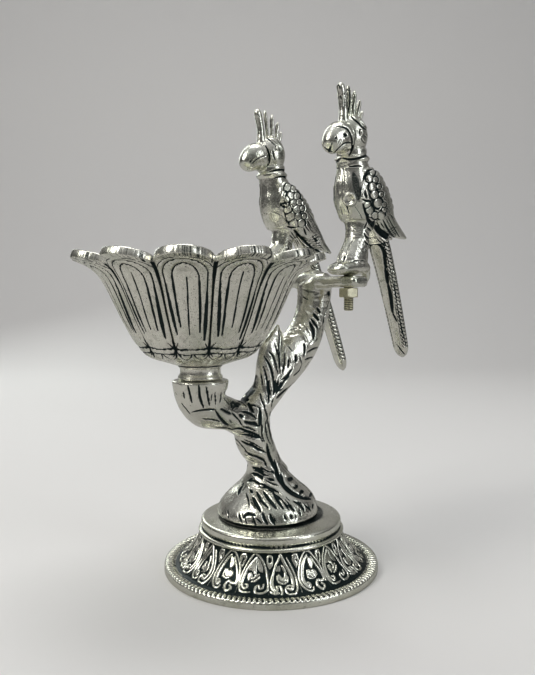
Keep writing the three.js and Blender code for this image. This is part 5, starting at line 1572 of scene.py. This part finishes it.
dress(make_base(), silver_base, "base", "stand")
dress(make_trunk(), silver, "trunk", "stand")
dress(make_bowl(), silver_bowl, "bowl", "bowl")
dress(make_bird("bird_front_cast", FRONT), silver, "bird_front", "bird_front")
dress(make_bird("bird_rear_cast", REAR), silver, "bird_rear", "bird_rear")
for fastener, node_name, body in list(make_fasteners()):
    dress(fastener, zinc, node_name, body)


# Floor, lamps, surroundings and camera; on the floor, right and away are seen from the camera
right_way = np.array([math.cos(AZIMUTH), math.sin(AZIMUTH), 0])
away_way = np.array([-math.sin(AZIMUTH), math.cos(AZIMUTH), 0])


def backdrop():
    """Pale paper; reflections see a dark room in place of it, so that the metal keeps its contrast."""
    material = bpy.data.materials.new("backdrop")
    node = emptied(material)
    glossy_ray = node("LightPath", {}, "Is Glossy Ray")
    colour = mixed(node, glossy_ray, (0.80, 0.79, 0.775, 1), (0.45, 0.44, 0.43, 1))
    shader = node("BsdfPrincipled", {"Base Color": colour, "Roughness": 0.75, "Specular IOR Level": 0.2})
    node("OutputMaterial", {"Surface": shader})
    return material


def make_sweep():
    """Floor that curves up into a backdrop behind the stand."""
    path = [(-1400.0, 0.0), (-300.0, 0.0), (300.0, 0.0), (700.0, 0.0)]
    path += [(700 + 500 * math.sin(a), 500 - 500 * math.cos(a)) for a in np.radians(np.arange(6, 91, 6))]
    path += [(1200.0, 2400.0)]
    across = np.linspace(-2200, 2200, 9)
    centre = np.array([base_x, base_y, 0])
    co = [centre + away_way * along + right_way * x + [0, 0, z] for along, z in path for x in across]
    n = len(across)
    corners = [r * n + c for r in range(len(path) - 1) for c in range(n - 1)]
    floor = new_mesh("floor", co, [[k, k + 1, k + n + 1, k + n] for k in corners])
    floor.data.materials.append(backdrop())


def placed(name, data):
    item = bpy.data.objects.new(name, data)
    bpy.context.scene.collection.objects.link(item)
    return item


def area(name, place, target_height, size, power, colour=(1, 1, 1)):
    """Soft lamp aimed at the stand; its place is right, towards the camera and up from the base, in metres."""
    data = bpy.data.lights.new(name, "AREA")
    data.shape = "RECTANGLE"
    data.size, data.size_y = size
    data.energy, data.color = power, colour
    lamp = placed(name, data)
    lamp.location = Vector(right_way * place[0] - away_way * place[1] + [0, 0, place[2]])
    lamp.rotation_euler = (Vector((0, 0, target_height)) - lamp.location).to_track_quat("-Z", "Y").to_euler()


def make_room():
    """Surroundings: dim light, a banded room for reflections and a pale wall for the camera."""
    world = bpy.context.scene.world = bpy.data.worlds.new("room")
    node = emptied(world)
    glossy_ray, camera_ray = node("LightPath", {}, "Is Glossy Ray"), node("LightPath", {}, "Is Camera Ray")
    height = node("SeparateXYZ", {"Vector": node("TexCoord", {}, "Generated")}, "Z")
    bands = node("ValToRGB", {"Fac": node("MapRange", {"Value": height, "From Min": -1, "From Max": 1})})
    bands_ramp = bands.node.color_ramp
    first, last = bands_ramp.elements
    first.position, first.color = 0.30, (0.16, 0.155, 0.15, 1)
    last.position, last.color = 1.0, (0.55, 0.56, 0.57, 1)
    for position, value in ((0.47, 0.08), (0.60, 0.05), (0.76, 0.22)):
        bands_ramp.elements.new(position).color = (value, value, value, 1)
    plain = node("Background", {"Color": (0.55, 0.55, 0.56, 1), "Strength": 0.45})
    wall = node("Background", {"Color": (0.40, 0.397, 0.39, 1)})
    light = node("MixShader", {0: glossy_ray, 1: plain, 2: node("Background", {"Color": bands})})
    node("OutputWorld", {"Surface": node("MixShader", {0: camera_ray, 1: light, 2: wall})})


make_sweep()
area("key", (-0.75, 0.45, 0.85), 0.09, (0.45, 0.65), 5.5, (1.0, 0.985, 0.95))
area("fill", (0.85, 0.55, 0.40), 0.09, (0.22, 0.8), 2.3, (0.93, 0.97, 1.0))
area("top", (0.05, -0.15, 1.15), 0.1, (0.6, 0.4), 3.4)
area("back", (-0.35, -0.65, 0.55), 0.11, (0.2, 0.7), 1.5, (0.95, 1.0, 0.98))
make_room()

lens = bpy.data.cameras.new("camera")
lens.sensor_width, lens.sensor_fit = 36, "AUTO"
lens.lens = FOCAL / FRAME_H * lens.sensor_width
camera = placed("camera", lens)
pose = Matrix((RIGHT, UP, -FORWARD)).transposed().to_4x4()
pose.translation = Vector(CAMERA * MM)
camera.matrix_world = pose
bpy.context.scene.camera = camera
bpy.context.scene.view_settings.view_transform = "Standard"
